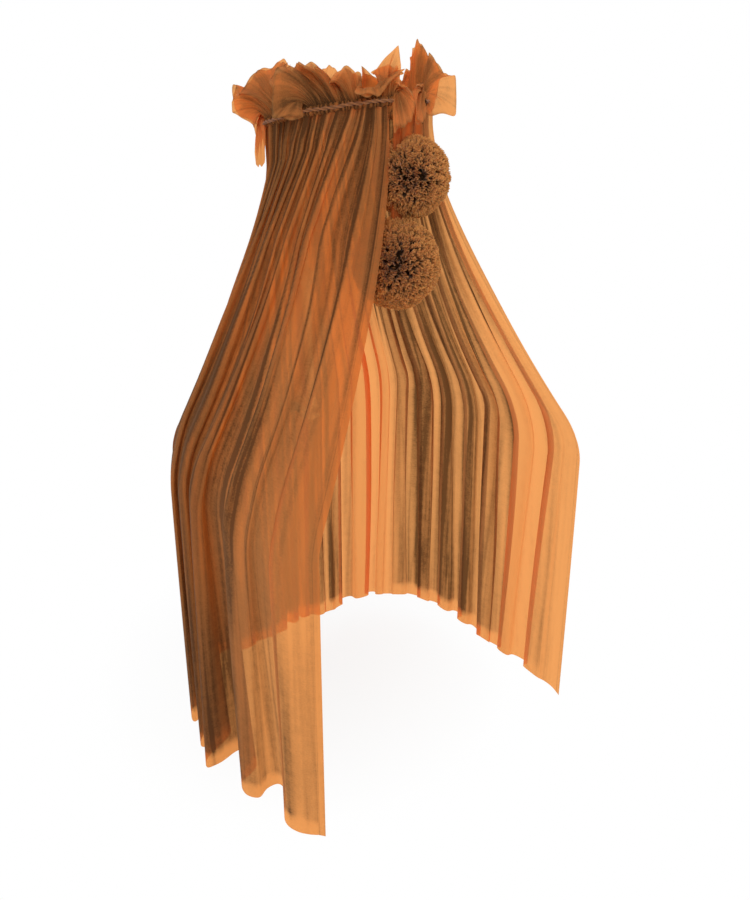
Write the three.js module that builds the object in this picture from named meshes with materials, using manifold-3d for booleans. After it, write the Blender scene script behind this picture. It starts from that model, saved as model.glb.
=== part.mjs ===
// Bed crown canopy: a tulle veil gathered on a hoop, carried by a telescopic stand with a screw clamp.
// Millimetres, +Z up, +Y to the back, opening towards -Y. The origin is the middle of the clamp's
// fixed jaw face, which bears on the outer face of the board that the clamp grips.

import * as THREE from 'three';
import { mergeVertices } from 'three/addons/utils/BufferGeometryUtils.js';
import Module from 'manifold-3d';

// General values
const runningGap = 0.3;
const cutOverrun = 1;
const mergeTolerance = 1e-4;

// Board that the clamp grips and the outline that the veil falls over, heights above the floor
const railTopHeight = 850;
const railThickness = 25;
const drapeHalfLength = 390;
const drapeHalfWidth = 375;
const drapeCornerRadius = 203;

// Crown: hoop centre in plan, from the middle of that outline, and its height
const crownAcross = 35;
const crownBack = 150;
const crownHeight = 1532.5;
const hoopRadius = 165;
const hoopWireRadius = 4;
const crownDropBackShare = 0.141;
const crownRiseRightShare = 0.052;
const armBearingDegrees = -79.5;

// Header: casing, gathering cord and ruffle, angles in degrees round the hoop
const casingHalfWidth = 7;
const casingHalfHeight = 11;
const casingLeftDegrees = 264.5;
const casingRightDegrees = -58;
const cordRadius = 1.7;
const ruffleLeftDegrees = 279.5;
const ruffleRightDegrees = -78.5;
const ruffleHeight = 82;
const ruffleLean = 46;
const ruffleWave = 24;
const ruffleBaseWave = 3;
const ruffleThickness = 1.2;
const ruffleSway = 9;
const ruffleLobeCount = 18;
const ruffleDriftShare = 0.012;
const ruffleRowShares = [0, 0.3, 0.65, 1];
const ruffleTallShares = [[0, 1.2], [0.12, 1], [0.85, 1], [1, 1.2]];

// Veil: four drops sewn edge to edge, pleated all round
const veilThickness = 1.2;
const veilFoldCount = 40;
const dropCount = 4;
const veilLeftDegrees = 263.5;
const veilRightDegrees = -41;
const spreadLeftDegrees = 228.8;
const spreadRightDegrees = -49.5;
const railClearance = 4;
const breakRise = 6;
const clampBulge = 7;
const hemHeight = 68;
const topFoldDepth = 4.5;
const middleFoldDepth = 10;
const railFoldDepth = 8;
const hemFoldDepth = 19;
const hemFlare = 20;
const hemWave = 8;
const edgeTapeWidth = 13;
const edgeTapeThickness = 2.2;

// Pompoms and the tulle straps that they hang on
const pompomUpperRadius = 78;
const pompomLowerRadius = 91;
const pompomUpperDrop = 138;
const pompomLowerDrop = 303;
const pompomTuft = 5;
const strapThickness = 2;
const strapLoopGap = 1.6;
const strapSag = 0.7;
const upperStrapWidth = 18;
const upperStrapSpread = 50;
const lowerStrapWidth = 6;
const lowerStrapSpacing = 7;
const lowerStrapCount = 3;
const strapStandoff = 21.6;

// Stand tubes
const poleInset = 20;
const upperTubeRadius = 8;
const upperTubeWall = 1.2;
const lowerTubeRadius = 10.5;
const lowerTubeWall = 2;
const lowerTubeShare = 0.4835;
const tubeOverlapShare = 0.727;
const bendRadius = 55;
const plugLength = 14;
const plugFlange = 3;

// Height collar and its thumb screw
const collarRadius = 16;
const collarLength = 34;
const collarGrip = 17;
const collarBossRadius = 8;
const collarBossReach = 24;
const thumbShaftRadius = 3;
const thumbHeadRadius = 11;
const thumbHeadLength = 9;
const thumbScallopCount = 10;
const thumbScallopDepth = 1.6;
const thumbHeadGap = 2;

// Clamp
const clampWidth = 32;
const clampPlate = 4;
const screwDrop = 26;
const legBelowScrew = 12;
const legThickness = 11;
const legSetback = 49;
const clampCorner = 4;
const jawPadThickness = 2;
const jawPadHeight = 26;
const jawPadWidth = 28;
const socketRadius = 15;
const socketHeight = 22;
const socketTaper = 1.5;
const screwRadius = 4;
const screwLength = 62;
const padRadius = 12;
const padHubRadius = 8;
const padRim = 2;
const padThickness = 5;
const padSocketDepth = 2.5;
const knobRadius = 9;
const knobLength = 14;
const wingReach = 22;
const wingThickness = 6;
const wingTipRadius = 5;
const knobSeat = 10;

// Hoop holder at the end of the arm
const holderRadius = 8.5;
const holderHalfLength = 10;
const holderNeck = 16;
const holderSpigot = 15;
const holderBoreGap = 0.8;
const hoopEndGap = 2;
const grubRadius = 2;
const grubLength = 6;
const grubSetback = 6;

// Facet counts
const outlineHalvingCount = 40;
const roundSideCount = 18;
const tubeSideCount = 16;
const wireSideCount = 8;
const casingSideCount = 12;
const cordSideCount = 6;
const cornerSegmentCount = 4;
const strapSegmentCount = 8;
const hoopStepCount = 48;
const bendStepCount = 8;
const ruffleSampleCount = 5;
const pompomDetailCount = 6;
const tuftCount = 9;

// Colours of the finishes
const tulle = new THREE.MeshStandardMaterial({ color: 0xc9713a, roughness: 0.85, metalness: 0 });
const cordCloth = new THREE.MeshStandardMaterial({ color: 0x7d452a, roughness: 0.9, metalness: 0 });
const pompomTulle = new THREE.MeshStandardMaterial({ color: 0x84562f, roughness: 0.9, metalness: 0 });
const paintedSteel = new THREE.MeshStandardMaterial({ color: 0xf1efea, roughness: 0.4, metalness: 0.1 });
const zincSteel = new THREE.MeshStandardMaterial({ color: 0xb9bcc0, roughness: 0.35, metalness: 0.9 });
const whitePlastic = new THREE.MeshStandardMaterial({ color: 0xe9e6e0, roughness: 0.5, metalness: 0 });
const greyRubber = new THREE.MeshStandardMaterial({ color: 0x55524e, roughness: 0.95, metalness: 0 });

const wasm = await Module();
wasm.setup();

const xAxis = new THREE.Vector3(1, 0, 0);
const yAxis = new THREE.Vector3(0, 1, 0);
const zAxis = new THREE.Vector3(0, 0, 1);
const radians = THREE.MathUtils.degToRad;
const lerp = THREE.MathUtils.lerp;
const fullTurn = 2 * Math.PI;

// The whole canopy is laid out over the middle of its outline and then set on the jaw face
const canopy = new THREE.Group();
const poleBearing = radians(armBearingDegrees);
const poleDistance = hoopRadius - poleInset;
const poleX = crownAcross - Math.cos(poleBearing) * poleDistance;
const poleY = crownBack - Math.sin(poleBearing) * poleDistance;
const jawHeight = railTopHeight - screwDrop;
canopy.position.set(-poleX, -drapeHalfWidth, -jawHeight);

function addPiece(name, geometry, material) {
  const piece = new THREE.Mesh(geometry, material);
  piece.name = name;
  canopy.add(piece);
  return piece;
}

// A closed mesh as a solid that can be joined and cut, and back again

function toSolid(geometry) {
  const bare = geometry.clone();
  bare.deleteAttribute('normal');
  bare.deleteAttribute('uv');
  const merged = mergeVertices(bare, mergeTolerance);
  const position = merged.getAttribute('position');
  const vertProperties = new Float32Array(position.array);
  const triVerts = new Uint32Array(merged.getIndex().array);
  return new wasm.Manifold(new wasm.Mesh({ numProp: 3, vertProperties, triVerts }));
}

function toGeometry(solid) {
  const { vertProperties, triVerts } = solid.getMesh();
  const geometry = new THREE.BufferGeometry();
  geometry.setAttribute('position', new THREE.BufferAttribute(vertProperties, 3));
  geometry.setIndex(new THREE.BufferAttribute(triVerts, 1));
  geometry.computeVertexNormals();
  return geometry;
}

function joined(...geometries) {
  return toGeometry(geometries.map(toSolid).reduce((whole, next) => whole.add(next)));
}

function cut(geometry, ...tools) {
  return toGeometry(tools.map(toSolid).reduce((whole, tool) => whole.subtract(tool), toSolid(geometry)));
}

// Basic bodies

function rodBetween(start, end, radius, sides = roundSideCount) {
  const axis = end.clone().sub(start);
  const geometry = new THREE.CylinderGeometry(radius, radius, axis.length(), sides);
  const turn = new THREE.Quaternion().setFromUnitVectors(yAxis, axis.clone().normalize());
  const middle = start.clone().add(end).multiplyScalar(0.5);
  return geometry.applyQuaternion(turn).translate(middle.x, middle.y, middle.z);
}

function circleShape(radius, boreRadius = 0) {
  const shape = new THREE.Shape();
  shape.absarc(0, 0, radius, 0, fullTurn);
  if (boreRadius > 0) {
    const bore = new THREE.Path();
    bore.absarc(0, 0, boreRadius, 0, fullTurn, true);
    shape.holes.push(bore);
  }
  return shape;
}

function upright(geometry, x, y, z) {
  return geometry.rotateX(Math.PI / 2).translate(x, y, z);
}

function revolved(profile, sides = roundSideCount) {
  const points = profile.map(([radius, height]) => new THREE.Vector2(radius, height));
  return new THREE.LatheGeometry(points, sides);
}

// Crown frame: the hoop lies in a plane that falls to the back, away from where the arm holds it

const crownNormal = new THREE.Vector3(-crownRiseRightShare, crownDropBackShare, 1).normalize();
const crownTurn = new THREE.Quaternion().setFromUnitVectors(zAxis, crownNormal);
const crownCentre = new THREE.Vector3(crownAcross, crownBack, crownHeight);
const crownFrame = new THREE.Matrix4().compose(crownCentre, crownTurn, new THREE.Vector3(1, 1, 1));

function crownPoint(angle, radius, up) {
  const local = new THREE.Vector3(Math.cos(angle) * radius, Math.sin(angle) * radius, up);
  return local.applyMatrix4(crownFrame);
}

function crownTangent(angle) {
  return new THREE.Vector3(-Math.sin(angle), Math.cos(angle), 0).applyQuaternion(crownTurn);
}

// An arc round the hoop's axis, in the crown's own plane
class CrownArc extends THREE.Curve {
  constructor(radius, fromDegrees, toDegrees) {
    super();
    this.radius = radius;
    this.from = radians(fromDegrees);
    this.to = radians(toDegrees);
  }

  getPoint(share) {
    const angle = lerp(this.from, this.to, share);
    return new THREE.Vector3(Math.cos(angle) * this.radius, Math.sin(angle) * this.radius, 0);
  }
}

function sweptRound(section, radius, fromDegrees, toDegrees, sides) {
  const path = new CrownArc(radius, fromDegrees, toDegrees);
  const share = Math.abs(toDegrees - fromDegrees) / 360;
  const steps = Math.max(2, Math.round(hoopStepCount * share));
  const options = { steps, extrudePath: path, curveSegments: sides / 2 };
  return new THREE.ExtrudeGeometry(section, options).applyMatrix4(crownFrame);
}

// Cloth: a closed thin solid on both sides of a surface, from its edge lines inward

const nudgeShare = 1e-3;

function sheetSolid(surface, columns, rows, thickness) {
  const across = columns.length;
  const down = rows.length;
  const positions = [];
  const faces = [];
  for (const side of [0.5, -0.5]) {
    for (const column of columns) {
      for (const row of rows) {
        const alongColumn = surface(column + nudgeShare, row).sub(surface(column - nudgeShare, row));
        const alongRow = surface(column, row + nudgeShare).sub(surface(column, row - nudgeShare));
        const normal = alongRow.cross(alongColumn).normalize();
        const point = surface(column, row).addScaledVector(normal, side * thickness);
        positions.push(point.x, point.y, point.z);
      }
    }
  }
  const at = (side, i, j) => side * across * down + i * down + j;
  const quad = (a, b, c, d) => faces.push(a, b, c, a, c, d);
  for (let i = 0; i < across - 1; i += 1) {
    for (let j = 0; j < down - 1; j += 1) {
      quad(at(0, i, j), at(0, i, j + 1), at(0, i + 1, j + 1), at(0, i + 1, j));
      quad(at(1, i, j), at(1, i + 1, j), at(1, i + 1, j + 1), at(1, i, j + 1));
    }
    quad(at(0, i, 0), at(0, i + 1, 0), at(1, i + 1, 0), at(1, i, 0));
    quad(at(0, i + 1, down - 1), at(0, i, down - 1), at(1, i, down - 1), at(1, i + 1, down - 1));
  }
  for (let j = 0; j < down - 1; j += 1) {
    quad(at(0, 0, j + 1), at(0, 0, j), at(1, 0, j), at(1, 0, j + 1));
    quad(at(0, across - 1, j), at(0, across - 1, j + 1), at(1, across - 1, j + 1), at(1, across - 1, j));
  }
  const geometry = new THREE.BufferGeometry();
  geometry.setAttribute('position', new THREE.Float32BufferAttribute(positions, 3));
  geometry.setIndex(faces);
  geometry.computeVertexNormals();
  return geometry;
}

// A value read off a table of [place share, value] pairs, straight between them
function fromTable(table, place) {
  const last = table.length - 1;
  if (place <= table[0][0]) return table[0][1];
  if (place >= table[last][0]) return table[last][1];
  const next = table.findIndex(([start]) => start > place);
  const [startPlace, startValue] = table[next - 1];
  const [endPlace, endValue] = table[next];
  return lerp(startValue, endValue, (place - startPlace) / (endPlace - startPlace));
}

// Outline of the drape in plan: where a ray from the crown's middle leaves the rounded rectangle

function outlineDistance(x, y, offset) {
  const radius = drapeCornerRadius + offset;
  const overX = Math.abs(x) - (drapeHalfLength + offset - radius);
  const overY = Math.abs(y) - (drapeHalfWidth + offset - radius);
  const outside = Math.hypot(Math.max(overX, 0), Math.max(overY, 0));
  return outside + Math.min(Math.max(overX, overY), 0) - radius;
}

function outlinePoint(bearing, offset) {
  let near = 0;
  let far = 2 * (drapeHalfLength + drapeHalfWidth);
  for (let halving = 0; halving < outlineHalvingCount; halving += 1) {
    const reach = (near + far) / 2;
    const x = crownAcross + Math.cos(bearing) * reach;
    const y = crownBack + Math.sin(bearing) * reach;
    if (outlineDistance(x, y, offset) < 0) near = reach;
    else far = reach;
  }
  return new THREE.Vector2(crownAcross + Math.cos(bearing) * near, crownBack + Math.sin(bearing) * near);
}

// Veil shape. A place across the veil is counted in folds from the left edge, and a place down it
// in shares: 0 at the casing, 1 where it breaks over the board and 2 at the hem.

const veilTopDrop = casingHalfHeight + runningGap;
const breakHeight = railTopHeight + breakRise;
const sweepPowerShares = [
  [0, 1.5], [0.12, 1.25], [0.3, 1.1], [0.45, 1.2], [0.6, 1.6], [0.85, 1.7], [1, 1.4],
];
const hangShares = [[0, 0.05], [0.25, 0.1], [0.5, 0.1], [0.9, 0.06], [1, 0.04]];
const foldGrowthShares = [[0, 0], [0.2, 0.3], [0.6, 0.8], [1, 1]];
const hemShares = [[0, 2.7], [0.05, 2.2], [0.1, 1.6], [0.16, 1.2], [0.3, 1], [0.9, 1], [1, 1.15]];
const seatShare = 0.9;
const slopeStepShare = 0.05;
const foldSwellShare = 0.28;
const foldSwellPhaseShare = 2.4;
const hemFlarePowerShare = 0.7;
const widthDriftShares = [0.004, 0.0025];

function placeAcross(fold) {
  const share = fold / veilFoldCount;
  const slow = widthDriftShares[0] * Math.sin(7 * Math.PI * share);
  const quick = widthDriftShares[1] * Math.sin(19 * Math.PI * share);
  return share + slow + quick;
}

function veilHem(place) {
  return hemHeight * fromTable(hemShares, place);
}

function drapeSpine(fold, down) {
  const place = placeAcross(fold);
  const hoopAngle = radians(lerp(veilLeftDegrees, veilRightDegrees, place));
  const bearing = radians(lerp(spreadLeftDegrees, spreadRightDegrees, place));
  const top = crownPoint(hoopAngle, hoopRadius, -veilTopDrop);
  const foot = outlinePoint(bearing, railClearance);
  const hang = fromTable(hangShares, place);
  const power = fromTable(sweepPowerShares, place);
  const fall = Math.min(down, 1);
  const sweep = Math.max(0, (fall - hang) / (1 - hang)) ** power;
  const x = lerp(top.x, foot.x, sweep);
  const y = lerp(top.y, foot.y, sweep);
  const z = lerp(top.z, breakHeight, fall);
  return new THREE.Vector3(x, y, z);
}

function foldDepth(down) {
  if (down <= 1) {
    const growth = fromTable(foldGrowthShares, down);
    const middle = 4 * down * (1 - down) * (middleFoldDepth - (topFoldDepth + railFoldDepth) / 2);
    return lerp(topFoldDepth, railFoldDepth, growth) + Math.max(0, middle);
  }
  return lerp(railFoldDepth, hemFoldDepth, down - 1);
}

function veilSurface(fold, down) {
  const spine = drapeSpine(fold, down);
  const ahead = drapeSpine(fold + slopeStepShare, down);
  const behind = drapeSpine(fold - slopeStepShare, down);
  const outward = new THREE.Vector3(behind.y - ahead.y, ahead.x - behind.x, 0).normalize();
  const depth = foldDepth(down) * (1 + foldSwellShare * Math.sin(foldSwellPhaseShare * fold + 1));
  const wave = Math.cos(fullTurn * fold);
  const seat = seatShare * THREE.MathUtils.smoothstep(down, 0.1, 1);
  const flare = hemFlare * Math.max(0, down - 1) ** hemFlarePowerShare;
  const aside = (Math.abs(spine.x - poleX) - clampWidth / 2) / (clampWidth / 2);
  const overClamp = spine.y > crownBack ? 1 - THREE.MathUtils.smoothstep(aside, 0, 1) : 0;
  const bulge = clampBulge * overClamp * THREE.MathUtils.smoothstep(down, 0.7, 1);
  const shift = depth * (wave + seat) + flare + bulge;
  if (down > 1) {
    const hem = veilHem(placeAcross(fold)) - hemWave * wave;
    spine.z = lerp(breakHeight, hem, down - 1);
  }
  return spine.addScaledVector(outward, shift);
}

const veilRowShares = [0, 0.06, 0.15, 0.3, 0.5, 0.72, 0.9, 1, 1.12, 1.5, 2];
const foldSampleCount = 4;
const hoopArcPerFold = (radians(veilLeftDegrees - veilRightDegrees) * hoopRadius) / veilFoldCount;
const seamShare = runningGap / hoopArcPerFold;

function foldColumns(first, last) {
  const columns = [first + seamShare];
  for (let k = first * foldSampleCount; k < last * foldSampleCount; k += 1) {
    columns.push((k + 0.5) / foldSampleCount);
  }
  columns.push(last - seamShare);
  return columns;
}

function makeVeil() {
  const names = ['veil_front_left', 'veil_back_left', 'veil_back_right', 'veil_front_right'];
  const foldsPerDrop = veilFoldCount / dropCount;
  names.forEach((name, drop) => {
    const columns = foldColumns(drop * foldsPerDrop, (drop + 1) * foldsPerDrop);
    addPiece(name, sheetSolid(veilSurface, columns, veilRowShares, veilThickness), tulle);
  });
}

// Turned edge tapes down both sides of the opening, sewn on past the last pleat

function makeEdgeTape(name, edgeFold, inward) {
  const surface = (offset, down) => {
    const edge = veilSurface(edgeFold, down);
    const inner = veilSurface(edgeFold + inward * seamShare, down);
    const along = edge.clone().sub(inner).setZ(0).normalize();
    return edge.addScaledVector(along, offset);
  };
  addPiece(name, sheetSolid(surface, [runningGap, edgeTapeWidth], veilRowShares, edgeTapeThickness), tulle);
}

// Header: the casing round the hoop, its gathering cord and the ruffle that stands up from it

function makeCasing() {
  const section = new THREE.Shape();
  section.absellipse(0, 0, casingHalfHeight, casingHalfWidth, 0, fullTurn);
  const bore = new THREE.Path();
  bore.absarc(0, 0, hoopWireRadius + runningGap, 0, fullTurn, true);
  section.holes.push(bore);
  const span = [casingLeftDegrees, casingRightDegrees];
  addPiece('casing', sweptRound(section, hoopRadius, ...span, casingSideCount), tulle);
  const cordLine = hoopRadius + casingHalfWidth + runningGap + cordRadius;
  const cord = sweptRound(circleShape(cordRadius), cordLine, ...span, cordSideCount);
  addPiece('gathering_cord', cord, cordCloth);
}

function ruffleSurface(lobe, height) {
  const up = Math.max(0, height);
  const share = lobe / ruffleLobeCount + ruffleDriftShare * Math.sin(5 * Math.PI * (lobe / ruffleLobeCount));
  const size = 1 + 0.25 * Math.sin(2.1 * lobe + 0.7);
  const depth = lerp(ruffleBaseWave, ruffleWave * size, up ** 1.4);
  const wave = Math.cos(fullTurn * lobe);
  const swing = Math.sin(fullTurn * lobe + 2 * up) * up;
  const middle = radians(lerp(ruffleLeftDegrees, ruffleRightDegrees, share));
  const angle = middle + (swing * ruffleSway) / hoopRadius;
  const radius = hoopRadius + ruffleLean * up ** 1.3 + depth * wave;
  const tall = ruffleHeight * (fromTable(ruffleTallShares, share) + 0.1 * Math.sin(1.7 * lobe));
  return crownPoint(angle, radius, casingHalfHeight + runningGap + tall * height);
}

function makeRuffle() {
  const halves = ['header_ruffle_left', 'header_ruffle_right'];
  const lobesPerHalf = ruffleLobeCount / halves.length;
  const lobeArc = (radians(ruffleLeftDegrees - ruffleRightDegrees) * hoopRadius) / ruffleLobeCount;
  const seam = runningGap / lobeArc;
  halves.forEach((name, half) => {
    const first = half * lobesPerHalf;
    const last = first + lobesPerHalf;
    const columns = [first + seam];
    for (let k = first * ruffleSampleCount + 1; k < last * ruffleSampleCount; k += 1) {
      columns.push(k / ruffleSampleCount);
    }
    columns.push(last - seam);
    addPiece(name, sheetSolid(ruffleSurface, columns, ruffleRowShares, ruffleThickness), tulle);
  });
}

// Hoop of bent wire, both ends held in the arm's holder by grub screws

function makeHoop() {
  const halfGap = THREE.MathUtils.radToDeg(hoopEndGap / 2 / hoopRadius);
  const wire = circleShape(hoopWireRadius);
  const ends = [armBearingDegrees + halfGap, armBearingDegrees + 360 - halfGap];
  addPiece('crown_hoop', sweptRound(wire, hoopRadius, ...ends, wireSideCount), paintedSteel);
}

function armPoint(reach) {
  const held = crownPoint(poleBearing, hoopRadius, 0);
  const outward = new THREE.Vector3(Math.cos(poleBearing), Math.sin(poleBearing), 0);
  return held.addScaledVector(outward, reach - hoopRadius);
}

function makeHolder() {
  const held = armPoint(hoopRadius);
  const along = crownTangent(poleBearing);
  const armEnd = armPoint(hoopRadius - holderNeck);
  const inside = armPoint(hoopRadius - holderNeck - holderSpigot);
  const neckStart = armPoint(hoopRadius - holderNeck + runningGap);
  const sleeve = (reach, radius) => rodBetween(
    held.clone().addScaledVector(along, -reach),
    held.clone().addScaledVector(along, reach),
    radius,
  );
  const neck = rodBetween(neckStart, held, upperTubeRadius);
  const spigot = rodBetween(inside, armEnd.lerp(held, 0.5), upperTubeRadius - upperTubeWall - runningGap);
  const body = joined(sleeve(holderHalfLength, holderRadius), neck, spigot);
  const tools = [sleeve(holderHalfLength + cutOverrun, hoopWireRadius + holderBoreGap)];
  ['left', 'right'].forEach((side, index) => {
    const offset = grubSetback * (index === 0 ? -1 : 1);
    const foot = held.clone().addScaledVector(along, offset);
    const start = foot.clone().addScaledVector(crownNormal, hoopWireRadius + runningGap);
    const end = start.clone().addScaledVector(crownNormal, grubLength);
    addPiece(`hoop_screw_${side}`, rodBetween(start, end, grubRadius, wireSideCount), zincSteel);
    tools.push(rodBetween(foot, end, grubRadius + runningGap, tubeSideCount));
  });
  addPiece('hoop_holder', cut(body, ...tools), whitePlastic);
}

// Upper tube: straight up the inside of the veil, then over the middle of the crown to the holder

class ArmPath extends THREE.Curve {
  constructor(foot, corner, tip) {
    super();
    this.foot = foot;
    this.tip = tip;
    this.corner = corner;
    this.forward = tip.clone().sub(corner).normalize();
    this.centre = corner.clone().addScaledVector(zAxis, -bendRadius);
    this.centre.addScaledVector(this.forward, bendRadius);
  }

  getUtoTmapping(share) {
    return share;
  }

  getPoint(share) {
    const station = share * (bendStepCount + 2);
    const turn = ((station - 1) / bendStepCount) * (Math.PI / 2);
    const bendAt = (angle) => this.centre.clone()
      .addScaledVector(this.forward, -Math.cos(angle) * bendRadius)
      .addScaledVector(zAxis, Math.sin(angle) * bendRadius);
    if (station < 1) return this.foot.clone().lerp(bendAt(0), station);
    if (station > bendStepCount + 1) return bendAt(Math.PI / 2).lerp(this.tip, station - bendStepCount - 1);
    return bendAt(turn);
  }
}

const lowerTubeLength = lowerTubeShare * (crownHeight - railTopHeight);
const tubeOverlap = tubeOverlapShare * lowerTubeLength;
const plateTop = railTopHeight + clampPlate;
const lowerTubeFoot = plateTop + runningGap;
const lowerTubeTop = lowerTubeFoot + lowerTubeLength;
const upperTubeFoot = lowerTubeTop - tubeOverlap;

function makeTubes() {
  const lowerBore = lowerTubeRadius - lowerTubeWall;
  const upperBore = upperTubeRadius - upperTubeWall;
  const tubeOptions = { depth: lowerTubeLength, bevelEnabled: false, curveSegments: tubeSideCount / 2 };
  const lower = new THREE.ExtrudeGeometry(circleShape(lowerTubeRadius, lowerBore), tubeOptions);
  addPiece('lower_tube', lower.translate(poleX, poleY, lowerTubeFoot), paintedSteel);
  const tip = armPoint(hoopRadius - holderNeck);
  const foot = new THREE.Vector3(poleX, poleY, upperTubeFoot);
  const path = new ArmPath(foot, new THREE.Vector3(poleX, poleY, tip.z), tip);
  const options = { steps: bendStepCount + 2, extrudePath: path, curveSegments: tubeSideCount / 2 };
  const upper = new THREE.ExtrudeGeometry(circleShape(upperTubeRadius, upperBore), options);
  addPiece('upper_tube', upper, paintedSteel);
  const plugFoot = upperTubeFoot - runningGap - plugFlange;
  const disc = (radius, length) => upright(
    new THREE.CylinderGeometry(radius, radius, length, tubeSideCount), poleX, poleY, plugFoot + length / 2,
  );
  const plug = joined(disc(lowerBore - runningGap, plugFlange), disc(upperBore - runningGap, plugLength));
  addPiece('tube_plug', plug, whitePlastic);
}

// Height collar over the lower tube's mouth, with the thumb screw that holds the upper tube

function scallopedHead(radius, scallops, depth) {
  const points = [];
  const count = scallops * 4;
  for (let k = 0; k < count; k += 1) {
    const angle = (fullTurn * k) / count;
    const reach = radius - depth * (0.5 - 0.5 * Math.cos(scallops * angle));
    points.push(new THREE.Vector2(Math.cos(angle) * reach, Math.sin(angle) * reach));
  }
  return new THREE.Shape(points);
}

function makeCollar() {
  const foot = lowerTubeTop - collarGrip;
  const top = foot + collarLength;
  const screwHeight = (lowerTubeTop + top) / 2;
  const tubeFit = upperTubeRadius + runningGap;
  const boreTall = (radius, from, to) => upright(
    new THREE.CylinderGeometry(radius, radius, to - from, roundSideCount), poleX, poleY, (from + to) / 2,
  );
  const screwPoint = (reach) => new THREE.Vector3(poleX, poleY - reach, screwHeight);
  const boss = rodBetween(screwPoint(0), screwPoint(collarBossReach), collarBossRadius);
  const body = joined(boreTall(collarRadius, foot, top), boss);
  const screwHole = rodBetween(
    screwPoint(0), screwPoint(collarBossReach + cutOverrun), thumbShaftRadius + runningGap, tubeSideCount,
  );
  addPiece('height_collar', cut(
    body,
    boreTall(lowerTubeRadius + runningGap, foot - cutOverrun, lowerTubeTop + runningGap),
    boreTall(tubeFit, foot, top + cutOverrun),
    screwHole,
  ), whitePlastic);
  const headStart = collarBossReach + thumbHeadGap;
  const shaftEnd = screwPoint(headStart + cutOverrun);
  const shaft = rodBetween(screwPoint(tubeFit), shaftEnd, thumbShaftRadius, tubeSideCount);
  const options = { depth: thumbHeadLength, bevelEnabled: false };
  const outline = scallopedHead(thumbHeadRadius, thumbScallopCount, thumbScallopDepth);
  const head = new THREE.ExtrudeGeometry(outline, options).rotateX(Math.PI / 2)
    .translate(poleX, poleY - headStart, screwHeight);
  addPiece('thumb_screw', joined(shaft, head), whitePlastic);
}

// Clamp: a bent steel bracket over the rail, its socket for the tube, jaw pad, screw, pad and wing knob

const sideBasis = new THREE.Matrix4().makeBasis(yAxis, zAxis, xAxis);

function extrudedAcross(shape, width) {
  const options = { depth: width, bevelEnabled: false, curveSegments: cornerSegmentCount };
  const geometry = new THREE.ExtrudeGeometry(shape, options).translate(0, 0, -width / 2);
  return geometry.applyMatrix4(sideBasis).translate(poleX, 0, 0);
}

const jawFace = drapeHalfWidth;
const jawInner = jawFace + jawPadThickness + runningGap;
const jawOuter = jawInner + clampPlate;
const legInner = jawFace - legSetback;
const legOuter = legInner - legThickness;
const plateEnd = poleY - socketRadius;

function bracketProfile() {
  const shape = new THREE.Shape();
  const jawFoot = jawHeight - jawPadHeight / 2;
  const legFoot = jawHeight - legBelowScrew;
  shape.moveTo(jawInner, jawFoot);
  shape.lineTo(jawOuter, jawFoot);
  shape.lineTo(jawOuter, plateTop - clampCorner);
  shape.absarc(jawOuter - clampCorner, plateTop - clampCorner, clampCorner, 0, Math.PI / 2, false);
  shape.lineTo(plateEnd, plateTop);
  shape.lineTo(plateEnd, railTopHeight);
  shape.lineTo(legOuter, railTopHeight);
  shape.lineTo(legOuter, legFoot);
  shape.lineTo(legInner, legFoot);
  shape.lineTo(legInner, railTopHeight);
  shape.lineTo(jawInner, railTopHeight);
  return shape;
}

function makeBracket() {
  const socketMiddle = plateTop + socketHeight / 2;
  const socketRimRadius = socketRadius - socketTaper;
  const socketLength = socketHeight + clampPlate;
  const socket = upright(
    new THREE.CylinderGeometry(socketRimRadius, socketRadius, socketLength, roundSideCount),
    poleX, poleY, socketMiddle - clampPlate / 2,
  );
  const socketBore = upright(
    new THREE.CylinderGeometry(
      lowerTubeRadius + runningGap, lowerTubeRadius + runningGap, socketHeight + cutOverrun, roundSideCount,
    ),
    poleX, poleY, socketMiddle + cutOverrun / 2,
  );
  const threadedHole = rodBetween(
    new THREE.Vector3(poleX, legInner + cutOverrun, jawHeight),
    new THREE.Vector3(poleX, legOuter - cutOverrun, jawHeight),
    screwRadius + runningGap,
  );
  const body = joined(extrudedAcross(bracketProfile(), clampWidth), socket);
  addPiece('clamp_bracket', cut(body, socketBore, threadedHole), paintedSteel);
  const pad = new THREE.BoxGeometry(jawPadWidth, jawPadThickness, jawPadHeight);
  addPiece('jaw_pad', pad.translate(poleX, jawFace + jawPadThickness / 2, jawHeight), greyRubber);
}

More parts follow.
